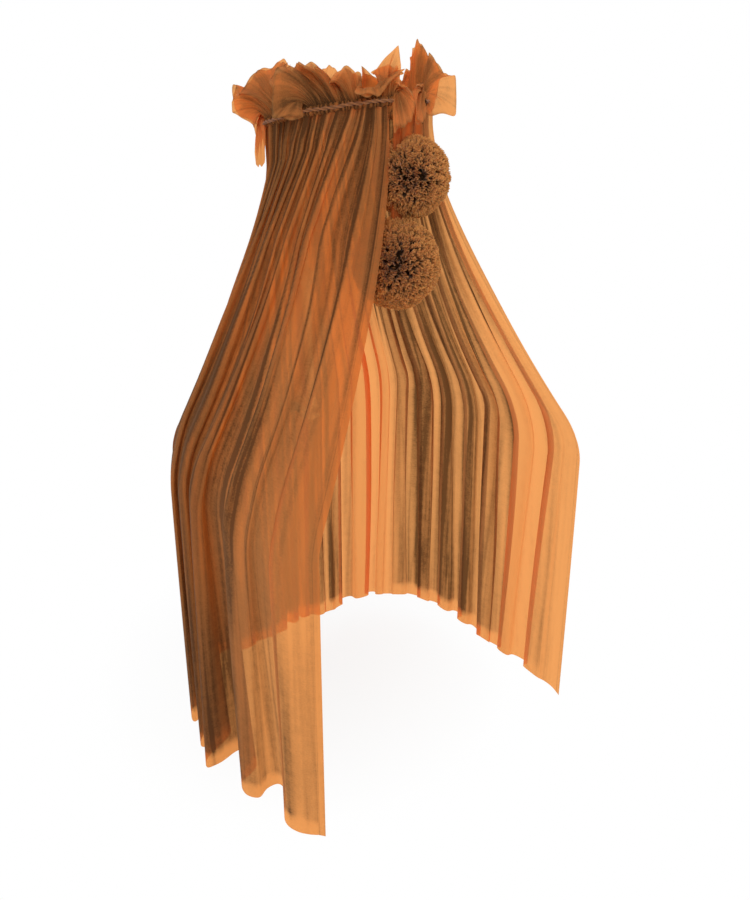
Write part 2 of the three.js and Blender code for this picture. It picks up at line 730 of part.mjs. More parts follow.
function makeScrew() {
  const padFace = jawFace - railThickness;
  const padBack = padFace - padThickness;
  const tip = padBack + padSocketDepth - runningGap;
  const tail = tip - screwLength;
  const socketRim = screwRadius + runningGap;
  const pad = revolved([
    [0, padBack + padSocketDepth],
    [socketRim, padBack + padSocketDepth],
    [socketRim, padBack],
    [padHubRadius, padBack],
    [padRadius, padFace - padRim],
    [padRadius, padFace],
    [0, padFace],
  ]);
  addPiece('pressure_pad', joined(pad.translate(poleX, 0, jawHeight)), greyRubber);
  const screwPoint = (y) => new THREE.Vector3(poleX, y, jawHeight);
  addPiece('clamp_screw', rodBetween(screwPoint(tail), screwPoint(tip), screwRadius), zincSteel);
  const knobFace = tail + knobSeat;
  const wings = new THREE.Shape();
  const tipAcross = wingReach - wingTipRadius;
  const tipAlong = knobLength - wingTipRadius;
  wings.moveTo(-knobRadius, 0);
  wings.lineTo(knobRadius, 0);
  wings.lineTo(tipAcross, tipAlong - wingTipRadius);
  wings.absarc(tipAcross, tipAlong, wingTipRadius, -Math.PI / 2, Math.PI / 2, false);
  wings.lineTo(0, tipAlong);
  wings.lineTo(-tipAcross, knobLength);
  wings.absarc(-tipAcross, tipAlong, wingTipRadius, Math.PI / 2, 1.5 * Math.PI, false);
  const options = { depth: wingThickness, bevelEnabled: false, curveSegments: cornerSegmentCount };
  const blade = new THREE.ExtrudeGeometry(wings, options).translate(0, 0, -wingThickness / 2)
    .rotateZ(Math.PI).translate(poleX, knobFace, jawHeight);
  const hub = rodBetween(screwPoint(knobFace - knobLength), screwPoint(knobFace), knobRadius);
  const bore = rodBetween(screwPoint(tail - runningGap), screwPoint(knobFace + cutOverrun), socketRim);
  addPiece('clamp_knob', cut(joined(hub, blade), bore), whitePlastic);
}

// Pompoms of gathered tulle strips on straps looped over the hoop

function pompomBody(radius, centre) {
  const ball = new THREE.IcosahedronGeometry(radius, pompomDetailCount);
  const position = ball.getAttribute('position');
  const point = new THREE.Vector3();
  for (let k = 0; k < position.count; k += 1) {
    point.fromBufferAttribute(position, k).normalize();
    const tuft = Math.sin(tuftCount * point.x + 1) * Math.sin(tuftCount * point.y + 2)
      * Math.sin(tuftCount * point.z + 3);
    point.multiplyScalar(radius - pompomTuft * (0.5 - 0.5 * tuft));
    position.setXYZ(k, point.x, point.y, point.z);
  }
  return ball.translate(centre.x, centre.y, centre.z);
}

function strapBody({ bearing, width, footWidth, drop }, margin) {
  const angle = radians(bearing);
  const held = crownPoint(angle, hoopRadius, 0);
  const side = new THREE.Vector3(-Math.sin(angle), Math.cos(angle), 0);
  const outward = new THREE.Vector3(Math.cos(angle), Math.sin(angle), 0);
  const hole = hoopWireRadius + strapLoopGap;
  const loop = hole + strapThickness + margin;
  const half = strapThickness / 2 + margin;
  const meet = Math.sqrt(loop * loop - half * half);
  const meetAngle = Math.atan2(-meet, half);
  const shape = new THREE.Shape();
  shape.moveTo(half, -drop - margin);
  shape.lineTo(half, -meet);
  shape.absarc(0, 0, loop, meetAngle, -Math.PI - meetAngle, false);
  shape.lineTo(-half, -drop - margin);
  const bore = new THREE.Path();
  bore.absarc(0, 0, hole, 0, fullTurn, true);
  shape.holes.push(bore);
  const options = { depth: width + 2 * margin, bevelEnabled: false, curveSegments: strapSegmentCount };
  const basis = new THREE.Matrix4().makeBasis(outward, zAxis, side.clone().negate());
  const strap = new THREE.ExtrudeGeometry(shape, options).translate(0, 0, -width / 2 - margin);
  const position = strap.getAttribute('position');
  for (let k = 0; k < position.count; k += 1) {
    if (position.getY(k) <= -drop) position.setZ(k, position.getZ(k) * (footWidth / width));
  }
  return strap.applyMatrix4(basis).translate(held.x, held.y, held.z - strapSag);
}

function makePompoms() {
  const standoff = THREE.MathUtils.radToDeg(strapStandoff / hoopRadius);
  const upperStrapBearing = armBearingDegrees + standoff;
  const lowerStrapBearing = armBearingDegrees - standoff;
  const straps = [{
    name: 'upper_pompom_strap',
    bearing: upperStrapBearing,
    width: upperStrapWidth,
    footWidth: upperStrapSpread,
    drop: pompomUpperDrop,
  }];
  const step = THREE.MathUtils.radToDeg(lowerStrapSpacing / hoopRadius);
  for (let k = 0; k < lowerStrapCount; k += 1) {
    const bearing = lowerStrapBearing + (k - (lowerStrapCount - 1) / 2) * step;
    const name = `lower_pompom_strap_${k + 1}`;
    const width = lowerStrapWidth;
    straps.push({ name, bearing, width, footWidth: width, drop: pompomLowerDrop });
  }
  for (const strap of straps) addPiece(strap.name, strapBody(strap, 0), pompomTulle);
  const slots = () => straps.map((strap) => strapBody(strap, runningGap));
  const hung = (bearing, drop) => (
    crownPoint(radians(bearing), hoopRadius, 0).addScaledVector(zAxis, -drop)
  );
  const upper = pompomBody(pompomUpperRadius, hung(upperStrapBearing, pompomUpperDrop));
  const lower = pompomBody(pompomLowerRadius, hung(lowerStrapBearing, pompomLowerDrop));
  addPiece('pompom_upper', cut(upper, ...slots()), pompomTulle);
  addPiece('pompom_lower', cut(lower, ...slots()), pompomTulle);
}

makeBracket();
makeScrew();
makeTubes();
makeCollar();
makeHolder();
makeHoop();
makeCasing();
makeRuffle();
makeVeil();
makeEdgeTape('edge_tape_left', 0, 1);
makeEdgeTape('edge_tape_right', veilFoldCount, -1);
makePompoms();

export default canopy;
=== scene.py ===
"""Dresses a bed crown canopy: a tulle veil on a crown hoop, its header, two pompoms and a clamp stand.

Everything is in metres, in the part's own frame: +Z up, the opening towards -Y, and the origin in the
middle of the jaw face of the clamp. The veil, header and pompoms are modelled here as fine cloth, and
the stand as smooth metal and moulded pieces, all in the places that the frame gives.
"""

import logging
import math
from dataclasses import dataclass
from enum import Enum
from typing import Callable, Optional, Sequence, Union

import bmesh
import bpy
import numpy as np
from mathutils import Matrix, Vector


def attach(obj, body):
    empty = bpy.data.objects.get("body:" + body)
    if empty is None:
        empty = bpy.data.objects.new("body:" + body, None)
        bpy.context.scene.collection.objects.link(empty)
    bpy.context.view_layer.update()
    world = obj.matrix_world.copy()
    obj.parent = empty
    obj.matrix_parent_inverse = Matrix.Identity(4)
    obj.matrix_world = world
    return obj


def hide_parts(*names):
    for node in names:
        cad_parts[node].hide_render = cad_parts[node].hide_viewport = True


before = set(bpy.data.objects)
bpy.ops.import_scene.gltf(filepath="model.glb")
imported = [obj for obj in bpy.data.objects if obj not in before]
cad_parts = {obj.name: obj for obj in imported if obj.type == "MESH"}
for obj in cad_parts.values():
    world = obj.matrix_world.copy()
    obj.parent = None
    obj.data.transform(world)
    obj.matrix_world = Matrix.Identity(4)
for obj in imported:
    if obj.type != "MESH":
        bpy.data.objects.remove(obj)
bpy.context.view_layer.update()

log = logging.getLogger("canopy")

Colour = tuple[float, float, float]
OverCloth = Callable[[np.ndarray, np.ndarray], np.ndarray]
FULL_TURN = 2 * math.pi
SHARP_ANGLE = 0.6
WHITE: Colour = (1.0, 1.0, 1.0)


# Shader maths


@dataclass(frozen=True)
class Socket:
    """An output of a node, with the operators that build Math nodes."""

    tree: "ShaderTree"
    link: bpy.types.NodeSocket

    def maths(self, operation: str, other: Union["Socket", float], flipped: bool = False) -> "Socket":
        """Combines this value with another.

        Args:
            operation: the Math node's operation.
            other: the second value.
            flipped: True where the other value comes first.

        Returns:
            The result's socket.
        """
        pair = (other, self) if flipped else (self, other)
        return self.tree.node("ShaderNodeMath", {"operation": operation}, {0: pair[0], 1: pair[1]})

    def __add__(self, other: Union["Socket", float]) -> "Socket":
        """Adds."""
        return self.maths("ADD", other)

    __radd__ = __add__

    def __sub__(self, other: Union["Socket", float]) -> "Socket":
        """Subtracts."""
        return self.maths("SUBTRACT", other)

    def __rsub__(self, other: float) -> "Socket":
        """Subtracts from a number."""
        return self.maths("SUBTRACT", other, flipped=True)

    def __mul__(self, other: Union["Socket", float]) -> "Socket":
        """Multiplies."""
        return self.maths("MULTIPLY", other)

    __rmul__ = __mul__

    def __truediv__(self, other: Union["Socket", float]) -> "Socket":
        """Divides."""
        return self.maths("DIVIDE", other)

    def at_least(self, other: Union["Socket", float]) -> "Socket":
        """The larger of two values."""
        return self.maths("MAXIMUM", other)

    def at_most(self, other: Union["Socket", float]) -> "Socket":
        """The smaller of two values."""
        return self.maths("MINIMUM", other)


class ShaderTree:
    """The nodes of a new material or world, made one call at a time."""

    def __init__(self, owner: Union[bpy.types.Material, bpy.types.World]) -> None:
        """Starts without nodes.

        Args:
            owner: the new material or world.
        """
        owner.use_nodes = True
        self.owner = owner
        self.tree = owner.node_tree
        self.tree.nodes.clear()

    def node(
        self,
        kind: str,
        settings: Optional[dict] = None,
        inputs: Optional[dict] = None,
        output: Union[int, str] = 0,
    ) -> Socket:
        """Adds a node.

        Args:
            kind: the node's type.
            settings: attributes that are set before the inputs, or the stops of a ramp.
            inputs: the values or links of its sockets, by name or place.
            output: the output that is handed back.

        Returns:
            That output's socket.
        """
        made = self.tree.nodes.new(kind)
        for name, value in (settings or {}).items():
            if name == "stops":
                set_stops(made.color_ramp.elements, value)
            else:
                setattr(made, name, value)
        for name, value in (inputs or {}).items():
            if isinstance(value, Socket):
                self.tree.links.new(value.link, made.inputs[name])
            else:
                made.inputs[name].default_value = value
        return Socket(self, made.outputs[output])

    def ramp(self, value: Socket, stops: Sequence[tuple[float, Colour]]) -> Socket:
        """Looks a value up in a row of places and their colours."""
        return self.node("ShaderNodeValToRGB", {"stops": stops}, {0: value})

    def attribute(self, name: str) -> Socket:
        """A value that the mesh carries at its points."""
        return self.node("ShaderNodeAttribute", {"attribute_name": name}, output="Fac")

    def coordinates(self, kind: str) -> Socket:
        """Object or UV coordinates."""
        return self.node("ShaderNodeTexCoord", output=kind)

    def noise(self, at: Socket, scale: float, detail: float = 3.0) -> Socket:
        """Noise between 0 and 1 at a scale in cells to the metre."""
        return self.node("ShaderNodeTexNoise", inputs={"Vector": at, "Scale": scale, "Detail": detail})

    def stretched(self, at: Socket, scale: Colour) -> Socket:
        """Coordinates that a Mapping node stretches."""
        return self.node("ShaderNodeMapping", inputs={"Vector": at, "Scale": scale})

    def bump(self, height: Socket, strength: float, distance: float) -> Socket:
        """A normal that follows a height."""
        values = {"Height": height, "Strength": strength, "Distance": distance}
        return self.node("ShaderNodeBump", inputs=values)

    def finish(
        self, surface: Socket, kind: str = "ShaderNodeOutputMaterial"
    ) -> Union[bpy.types.Material, bpy.types.World]:
        """Links a shader to the output and hands the material or world back."""
        out = self.tree.nodes.new(kind)
        self.tree.links.new(surface.link, out.inputs["Surface"])
        return self.owner


def opaque(colour: Colour) -> tuple[float, float, float, float]:
    """A colour with its fourth number, as the sockets take it."""
    return (*colour, 1.0)


def set_stops(points: bpy.types.ColorRampElements, stops: Sequence[tuple[float, Colour]]) -> None:
    """Sets up a ramp.

    Args:
        points: the ramp's elements.
        stops: places and their colours.
    """
    while len(points) < len(stops):
        points.new(1.0)
    for point, (place, colour) in zip(points, stops):
        point.position = place
        point.color = opaque(colour)


# Finishes


@dataclass(frozen=True)
class TulleFinish:
    """Sheer net: bright where it hangs single, brown and closed where it is gathered, with painted shade in
    its folds and creases and painted highlights on their crests.
    """

    name: str = "veil_tulle"
    # The ramp's colours are painted light: lit single net, painted shade in folded and gathered cloth and
    # painted shadow in its creases; the gathered cloth's darkness is also that of its close layers.
    single: Colour = (0.95, 0.35, 0.095)
    folded_shade: Colour = (0.5, 0.2, 0.058)
    gathered: Colour = (0.25, 0.103, 0.03)
    crease_shadow: Colour = (0.08, 0.032, 0.009)
    lit_through: Colour = (0.95, 0.45, 0.16)
    seen_through: Colour = (0.99, 0.42, 0.12)
    open_share: float = 0.46
    passed_share: float = 0.5
    threads_to_metre: float = 900.0
    streaks_to_metre: Colour = (90.0, 1.6, 1.0)
    spots_to_metre: float = 60.0
    grains_to_metre: float = 320.0
    streak_contrast: float = 0.9
    spot_contrast: float = 0.3
    grain_contrast: float = 0.45
    hairline: float = 0.08
    # Dark lines of painted crease shade and light lines of painted highlight run down the cloth.
    crease_shade_lines_to_metre: float = 48.0
    highlight_lines_to_metre: float = 31.0

    def build(self) -> bpy.types.Material:
        """Makes the material.

        Returns:
            The finished material, which reads the painted_shading attribute and the cloth's own UV map.
        """
        tree = ShaderTree(bpy.data.materials.new(self.name))
        cloth = tree.coordinates("UV")
        # The painted shade and highlight that the mesh carries at its points.
        painted_shading = tree.attribute("painted_shading")
        streaks = tree.noise(tree.stretched(cloth, self.streaks_to_metre), 1.0, 2.0)
        spots = tree.noise(cloth, self.spots_to_metre, 2.0)
        crease_shade_lines = self.hairlines(tree, cloth, self.crease_shade_lines_to_metre)
        painted_highlight_lines = self.hairlines(tree, cloth, self.highlight_lines_to_metre)
        grain = tree.noise(cloth, self.grains_to_metre, 1.0)
        tone = painted_shading + (streaks - 0.5) * self.streak_contrast + (spots - 0.5) * self.spot_contrast
        tone = tone + (grain - 0.5) * self.grain_contrast
        # Painted shade along the dark lines and painted highlight along the light ones, both stronger in
        # shaded cloth.
        tone = tone + crease_shade_lines * (painted_shading * 0.28 + 0.03) - painted_highlight_lines * (painted_shading * 0.16 + 0.04)
        stops = [(0.0, self.single), (0.34, self.folded_shade), (0.68, self.gathered), (1.0, self.crease_shadow)]
        base = tree.ramp(tone, stops)
        threads = {"Vector": cloth, "Scale": self.threads_to_metre}
        warp = tree.node("ShaderNodeTexWave", {"bands_direction": "X"}, threads)
        weft = tree.node("ShaderNodeTexWave", {"bands_direction": "Y"}, threads)
        net = warp.at_least(weft)
        woven = tree.node(
            "ShaderNodeBsdfPrincipled",
            inputs={
                "Base Color": base,
                "Roughness": 0.82,
                "Specular IOR Level": 0.12,
                "Sheen Weight": 0.1,
                "Sheen Tint": (1.0, 0.6, 0.3, 1.0),
                "Normal": tree.bump(net, 0.2, 0.0003),
            },
        )
        lit = tree.node("ShaderNodeBsdfTranslucent", inputs={"Color": opaque(self.lit_through)})
        clear = tree.node("ShaderNodeBsdfTransparent", inputs={"Color": opaque(self.seen_through)})
        shut = tone.at_least(0.0).at_most(1.0)
        passed = (1.0 - shut * 0.85) * self.passed_share
        opened = (1.0 - shut * 0.9) * self.open_share
        solid = tree.node("ShaderNodeMixShader", inputs={0: passed, 1: woven, 2: lit})
        return tree.finish(tree.node("ShaderNodeMixShader", inputs={0: opened, 1: solid, 2: clear}))

    def hairlines(self, tree: ShaderTree, cloth: Socket, closeness: float) -> Socket:
        """Thin lines that run down the cloth, for painted crease shade and painted highlights.

        Args:
            tree: the material's tree.
            cloth: the cloth's own coordinates.
            closeness: how many patches of noise there are to a metre across it.

        Returns:
            1 on a line and 0 beside it.
        """
        offset = tree.noise(tree.stretched(cloth, (closeness, closeness * 0.03, 1.0)), 1.0, 1.0) - 0.5
        return 1.0 - (offset.at_least(offset * -1.0) / self.hairline).at_most(1.0)


@dataclass(frozen=True)
class ClothFinish:
    """Close cloth, as on the pompoms' strips and the cord, painted from a lit colour to a shaded one."""

    name: str
    lit: Colour
    shaded: Colour
    grain: float = 90.0
    passed: float = 0.25
    roughness: float = 0.85

    def build(self) -> bpy.types.Material:
        """Makes the material, which reads the painted_shading attribute.

        Returns:
            The finished material.
        """
        tree = ShaderTree(bpy.data.materials.new(self.name))
        painted_shading = tree.attribute("painted_shading")
        at = tree.coordinates("Object")
        tone = painted_shading + (tree.noise(at, self.grain) - 0.5) * 0.35
        # Painted light and shade: the painted_shading attribute runs the colour from lit to shaded.
        base = tree.ramp(tone, [(0.0, self.lit), (1.0, self.shaded)])
        height = tree.noise(at, self.grain * 14, 2.0)
        woven = tree.node(
            "ShaderNodeBsdfPrincipled",
            inputs={
                "Base Color": base,
                "Roughness": self.roughness,
                "Specular IOR Level": 0.2,
                "Sheen Weight": 0.2,
                "Normal": tree.bump(height, 0.35, 0.0005),
            },
        )
        through = tree.node("ShaderNodeBsdfTranslucent", inputs={"Color": opaque(self.lit)})
        return tree.finish(tree.node("ShaderNodeMixShader", inputs={0: self.passed, 1: woven, 2: through}))


@dataclass(frozen=True)
class HardFinish:
    """Painted, plated or moulded surfaces, with fine orange peel and slightly worn patches."""

    name: str
    colour: Colour
    worn: Colour
    roughness: float = 0.4
    metallic: float = 0.0
    coat: float = 0.0
    grain: float = 900.0
    relief: float = 0.00004

    def build(self) -> bpy.types.Material:
        """Makes the material on Object coordinates.

        Returns:
            The finished material.
        """
        tree = ShaderTree(bpy.data.materials.new(self.name))
        at = tree.coordinates("Object")
        patches = tree.noise(at, 30.0, 4.0)
        base = tree.ramp(patches, [(0.3, self.colour), (0.85, self.worn)])
        rough = patches * 0.16 + (self.roughness - 0.08)
        peel = tree.noise(at, self.grain, 2.0)
        surface = tree.node(
            "ShaderNodeBsdfPrincipled",
            inputs={
                "Base Color": base,
                "Roughness": rough,
                "Metallic": self.metallic,
                "Coat Weight": self.coat,
                "Normal": tree.bump(peel, 0.3, self.relief),
            },
        )
        return tree.finish(surface)


class Finish(Enum):
    """The finishes that the canopy's pieces take, by the record's material slots."""

    VEIL = "veil_tulle"
    CORD = "cord_cloth"
    POMPOM = "pompom_tulle"
    PAINT = "painted_steel"
    ZINC = "zinc_steel"
    PLASTIC = "white_plastic"
    RUBBER = "rubber"
    RUFFLE = "veil_tulle_doubled"
    STRAP = "pompom_tulle_single"

    @property
    def slot(self) -> str:
        """The record's material slot; the ruffle is of the veil's cloth and the straps of the pompoms'."""
        return {Finish.RUFFLE: Finish.VEIL, Finish.STRAP: Finish.POMPOM}.get(self, self).value


def finish_recipes() -> dict[Finish, Union[TulleFinish, ClothFinish, HardFinish]]:
    """The recipe of each finish.

    Returns:
        The recipes, in the order in which the materials are made.
    """
    return {
        Finish.VEIL: TulleFinish(),
        Finish.RUFFLE: TulleFinish(
            "veil_tulle_doubled",
            lit_through=(0.95, 0.56, 0.24),
            open_share=0.36,
            passed_share=0.34,
        ),
        Finish.STRAP: TulleFinish("pompom_tulle_single"),
        # The cord's and the pompoms' two colours are lit and shaded copies of their cloth, for painted light
        # and shade.
        Finish.CORD: ClothFinish("cord_cloth", (0.4, 0.15, 0.05), (0.13, 0.048, 0.017), 160.0, 0.05),
        Finish.POMPOM: ClothFinish("pompom_tulle", (0.82, 0.4, 0.12), (0.04, 0.019, 0.006), 70.0, 0.32),
        Finish.PAINT: HardFinish("painted_steel", (0.86, 0.85, 0.82), (0.8, 0.79, 0.76), 0.38, 0.0, 0.15),
        Finish.ZINC: HardFinish("zinc_steel", (0.62, 0.63, 0.65), (0.5, 0.51, 0.53), 0.32, 0.95),
        Finish.PLASTIC: HardFinish("white_plastic", (0.82, 0.81, 0.77), (0.76, 0.75, 0.71), 0.46),
        Finish.RUBBER: HardFinish("rubber", (0.09, 0.086, 0.08), (0.06, 0.058, 0.055), 0.8, 0.0, 0.0, 500.0),
    }


class Wardrobe:
    """Makes each finish once and dresses pieces in it."""

    def __init__(self) -> None:
        """Builds every finish."""
        self.materials = {kind: recipe.build() for kind, recipe in finish_recipes().items()}

    def dress(self, piece: bpy.types.Object, kind: Finish, body: str, *nodes: str) -> bpy.types.Object:
        """Gives a piece its finish and the body that carries it, and hides the solids it stands for.

        Args:
            piece: the piece.
            kind: its finish.
            body: the body that it rides on.
            nodes: the solids that it replaces.

        Returns:
            The piece.
        """
        piece.data.materials.clear()
        piece.data.materials.append(self.materials[kind])
        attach(piece, body)
        if nodes:
            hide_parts(*nodes)
        return piece


# Meshes


def smoothstep(value: np.ndarray, low: float, high: float) -> np.ndarray:
    """Rises smoothly from 0 at low to 1 at high."""
    share = np.clip((value - low) / (high - low), 0.0, 1.0)
    return share * share * (3 - 2 * share)


def drift(place: np.ndarray, seed: float) -> np.ndarray:
    """A smooth irregular wave between about -1 and 1.

    Args:
        place: where it is read.
        seed: another value gives another wave.

    Returns:
        The wave's height at each place.
    """
    first = np.sin(place * 1.31 + seed * 5.7)
    second = np.sin(place * 2.17 + seed * 11.3 + 1.9)
    third = np.sin(place * 3.73 + seed * 3.1 + 0.6)
    return (first + 0.7 * second + 0.45 * third) / 1.7


def mesh_piece(name: str, mesh: bmesh.types.BMesh) -> bpy.types.Object:
    """Turns a bmesh into a smooth shaded piece.

    Args:
        name: the piece's name.
        mesh: the bmesh, which is freed.

    Returns:
        The new object, at the origin.
    """
    data = bpy.data.meshes.new(name)
    mesh.to_mesh(data)
    mesh.free()
    data.polygons.foreach_set("use_smooth", np.ones(len(data.polygons), bool))
    piece = bpy.data.objects.new(name, data)
    bpy.context.scene.collection.objects.link(piece)
    return piece


def give_values(piece: bpy.types.Object, name: str, values: np.ndarray) -> None:
    """Stores a value at each point of a piece.

    Args:
        piece: the piece.
        name: the attribute's name.
        values: one value a point.
    """
    layer = piece.data.attributes.new(name, "FLOAT", "POINT")
    layer.data.foreach_set("value", np.clip(values, 0, 1).astype(np.float32))


@dataclass
class ClothGrid:
    """A fine rectangular sheet that a function lays in place."""

    name: str
    columns: int
    rows: int
    flat: tuple[float, float]
    place: OverCloth
    tone: OverCloth
    skew: Optional[OverCloth] = None

    def build(self) -> bpy.types.Object:
        """Lays a grid out flat, carries each point to its place and stores its tone, the painted shading, in
        the painted_shading attribute.

        Returns:
            The sheet, with a UV map in metres of flat cloth.
        """
        mesh = bmesh.new()
        mesh.loops.layers.uv.new("cloth")
        bmesh.ops.create_grid(mesh, x_segments=self.columns, y_segments=self.rows, size=0.5, calc_uvs=True)
        piece = mesh_piece(self.name, mesh)
        flat = np.empty(len(piece.data.vertices) * 3, np.float32)
        piece.data.vertices.foreach_get("co", flat)
        across, down = (flat.reshape(-1, 3)[:, :2] + 0.5).astype(float).T
        piece.data.vertices.foreach_set("co", self.place(across, down).astype(np.float32).ravel())
        give_values(piece, "painted_shading", self.tone(across, down))
        layer = piece.data.uv_layers[0]
        where = np.empty(len(layer.data) * 2, np.float32)
        layer.data.foreach_get("uv", where)
        where = where.reshape(-1, 2)
        aside = self.skew(*where.astype(float).T) if self.skew else 0.0
        where = where * np.array(self.flat, np.float32)
        where[:, 0] += aside
        layer.data.foreach_set("uv", where.ravel())
        piece.data.update()
        return piece


def joined(name: str, pieces: Sequence[bpy.types.Object]) -> bpy.types.Object:
    """Joins pieces into the first and renames it.

    Args:
        name: the name of the whole.
        pieces: what is joined.

    Returns:
        The joined piece.
    """
    with bpy.context.temp_override(active_object=pieces[0], selected_editable_objects=list(pieces)):
        bpy.ops.object.join()
    pieces[0].name = name
    pieces[0].data.name = name
    return pieces[0]


# Crown


@dataclass(frozen=True)
class CrownPlan:
    """The tilted circle that the hoop, the casing, the header and the veil follow."""

    radius: float = 0.165
    pole_inset: float = 0.020
    back: float = -0.225
    height: float = 0.7085
    drop_back: float = 0.141
    rise_right: float = 0.052
    arm_bearing: float = math.radians(-79.5)

    @property
    def centre(self) -> Vector:
        """The middle of the hoop. The pole stands at x 0, opposite the arm's end."""
        return Vector((math.cos(self.arm_bearing) * (self.radius - self.pole_inset), self.back, self.height))

    @property
    def axes(self) -> tuple[Vector, Vector, Vector]:
        """The crown's own axes: across, back and up, in its tilted plane."""
        up = Vector((-self.rise_right, self.drop_back, 1)).normalized()
        turn = Vector((0, 0, 1)).rotation_difference(up)
        return turn @ Vector((1, 0, 0)), turn @ Vector((0, 1, 0)), up

    def at(
        self, angle: np.ndarray, radius: Union[np.ndarray, float], up: Union[np.ndarray, float]
    ) -> np.ndarray:
        """Points of the crown.

        Args:
            angle: bearings round the hoop, in radians.
            radius: distances from its middle.
            up: heights over its plane.

        Returns:
            One row a point.
        """
        across, back, rise = (np.array(axis) for axis in self.axes)
        reach = np.cos(angle)[:, None] * across + np.sin(angle)[:, None] * back
        lift = np.broadcast_to(up, angle.shape)[:, None] * rise
        return np.array(self.centre) + reach * np.broadcast_to(radius, angle.shape)[:, None] + lift

    def outward(self, angle: np.ndarray) -> np.ndarray:
        """The directions away from the hoop's middle at bearings round it."""
        return self.at(angle, 1.0, 0.0) - self.at(angle, 0.0, 0.0)

    def wire_middle(self, bearing: float) -> np.ndarray:
        """The middle of the hoop's wire at a bearing."""
        return self.at(np.array([bearing]), self.radius, 0.0)[0]


# Veil


class Drop(Enum):
    """The four drops of the veil, in order from the left edge of the opening."""

    FRONT_LEFT = 0
    BACK_LEFT = 1
    BACK_RIGHT = 2
    FRONT_RIGHT = 3


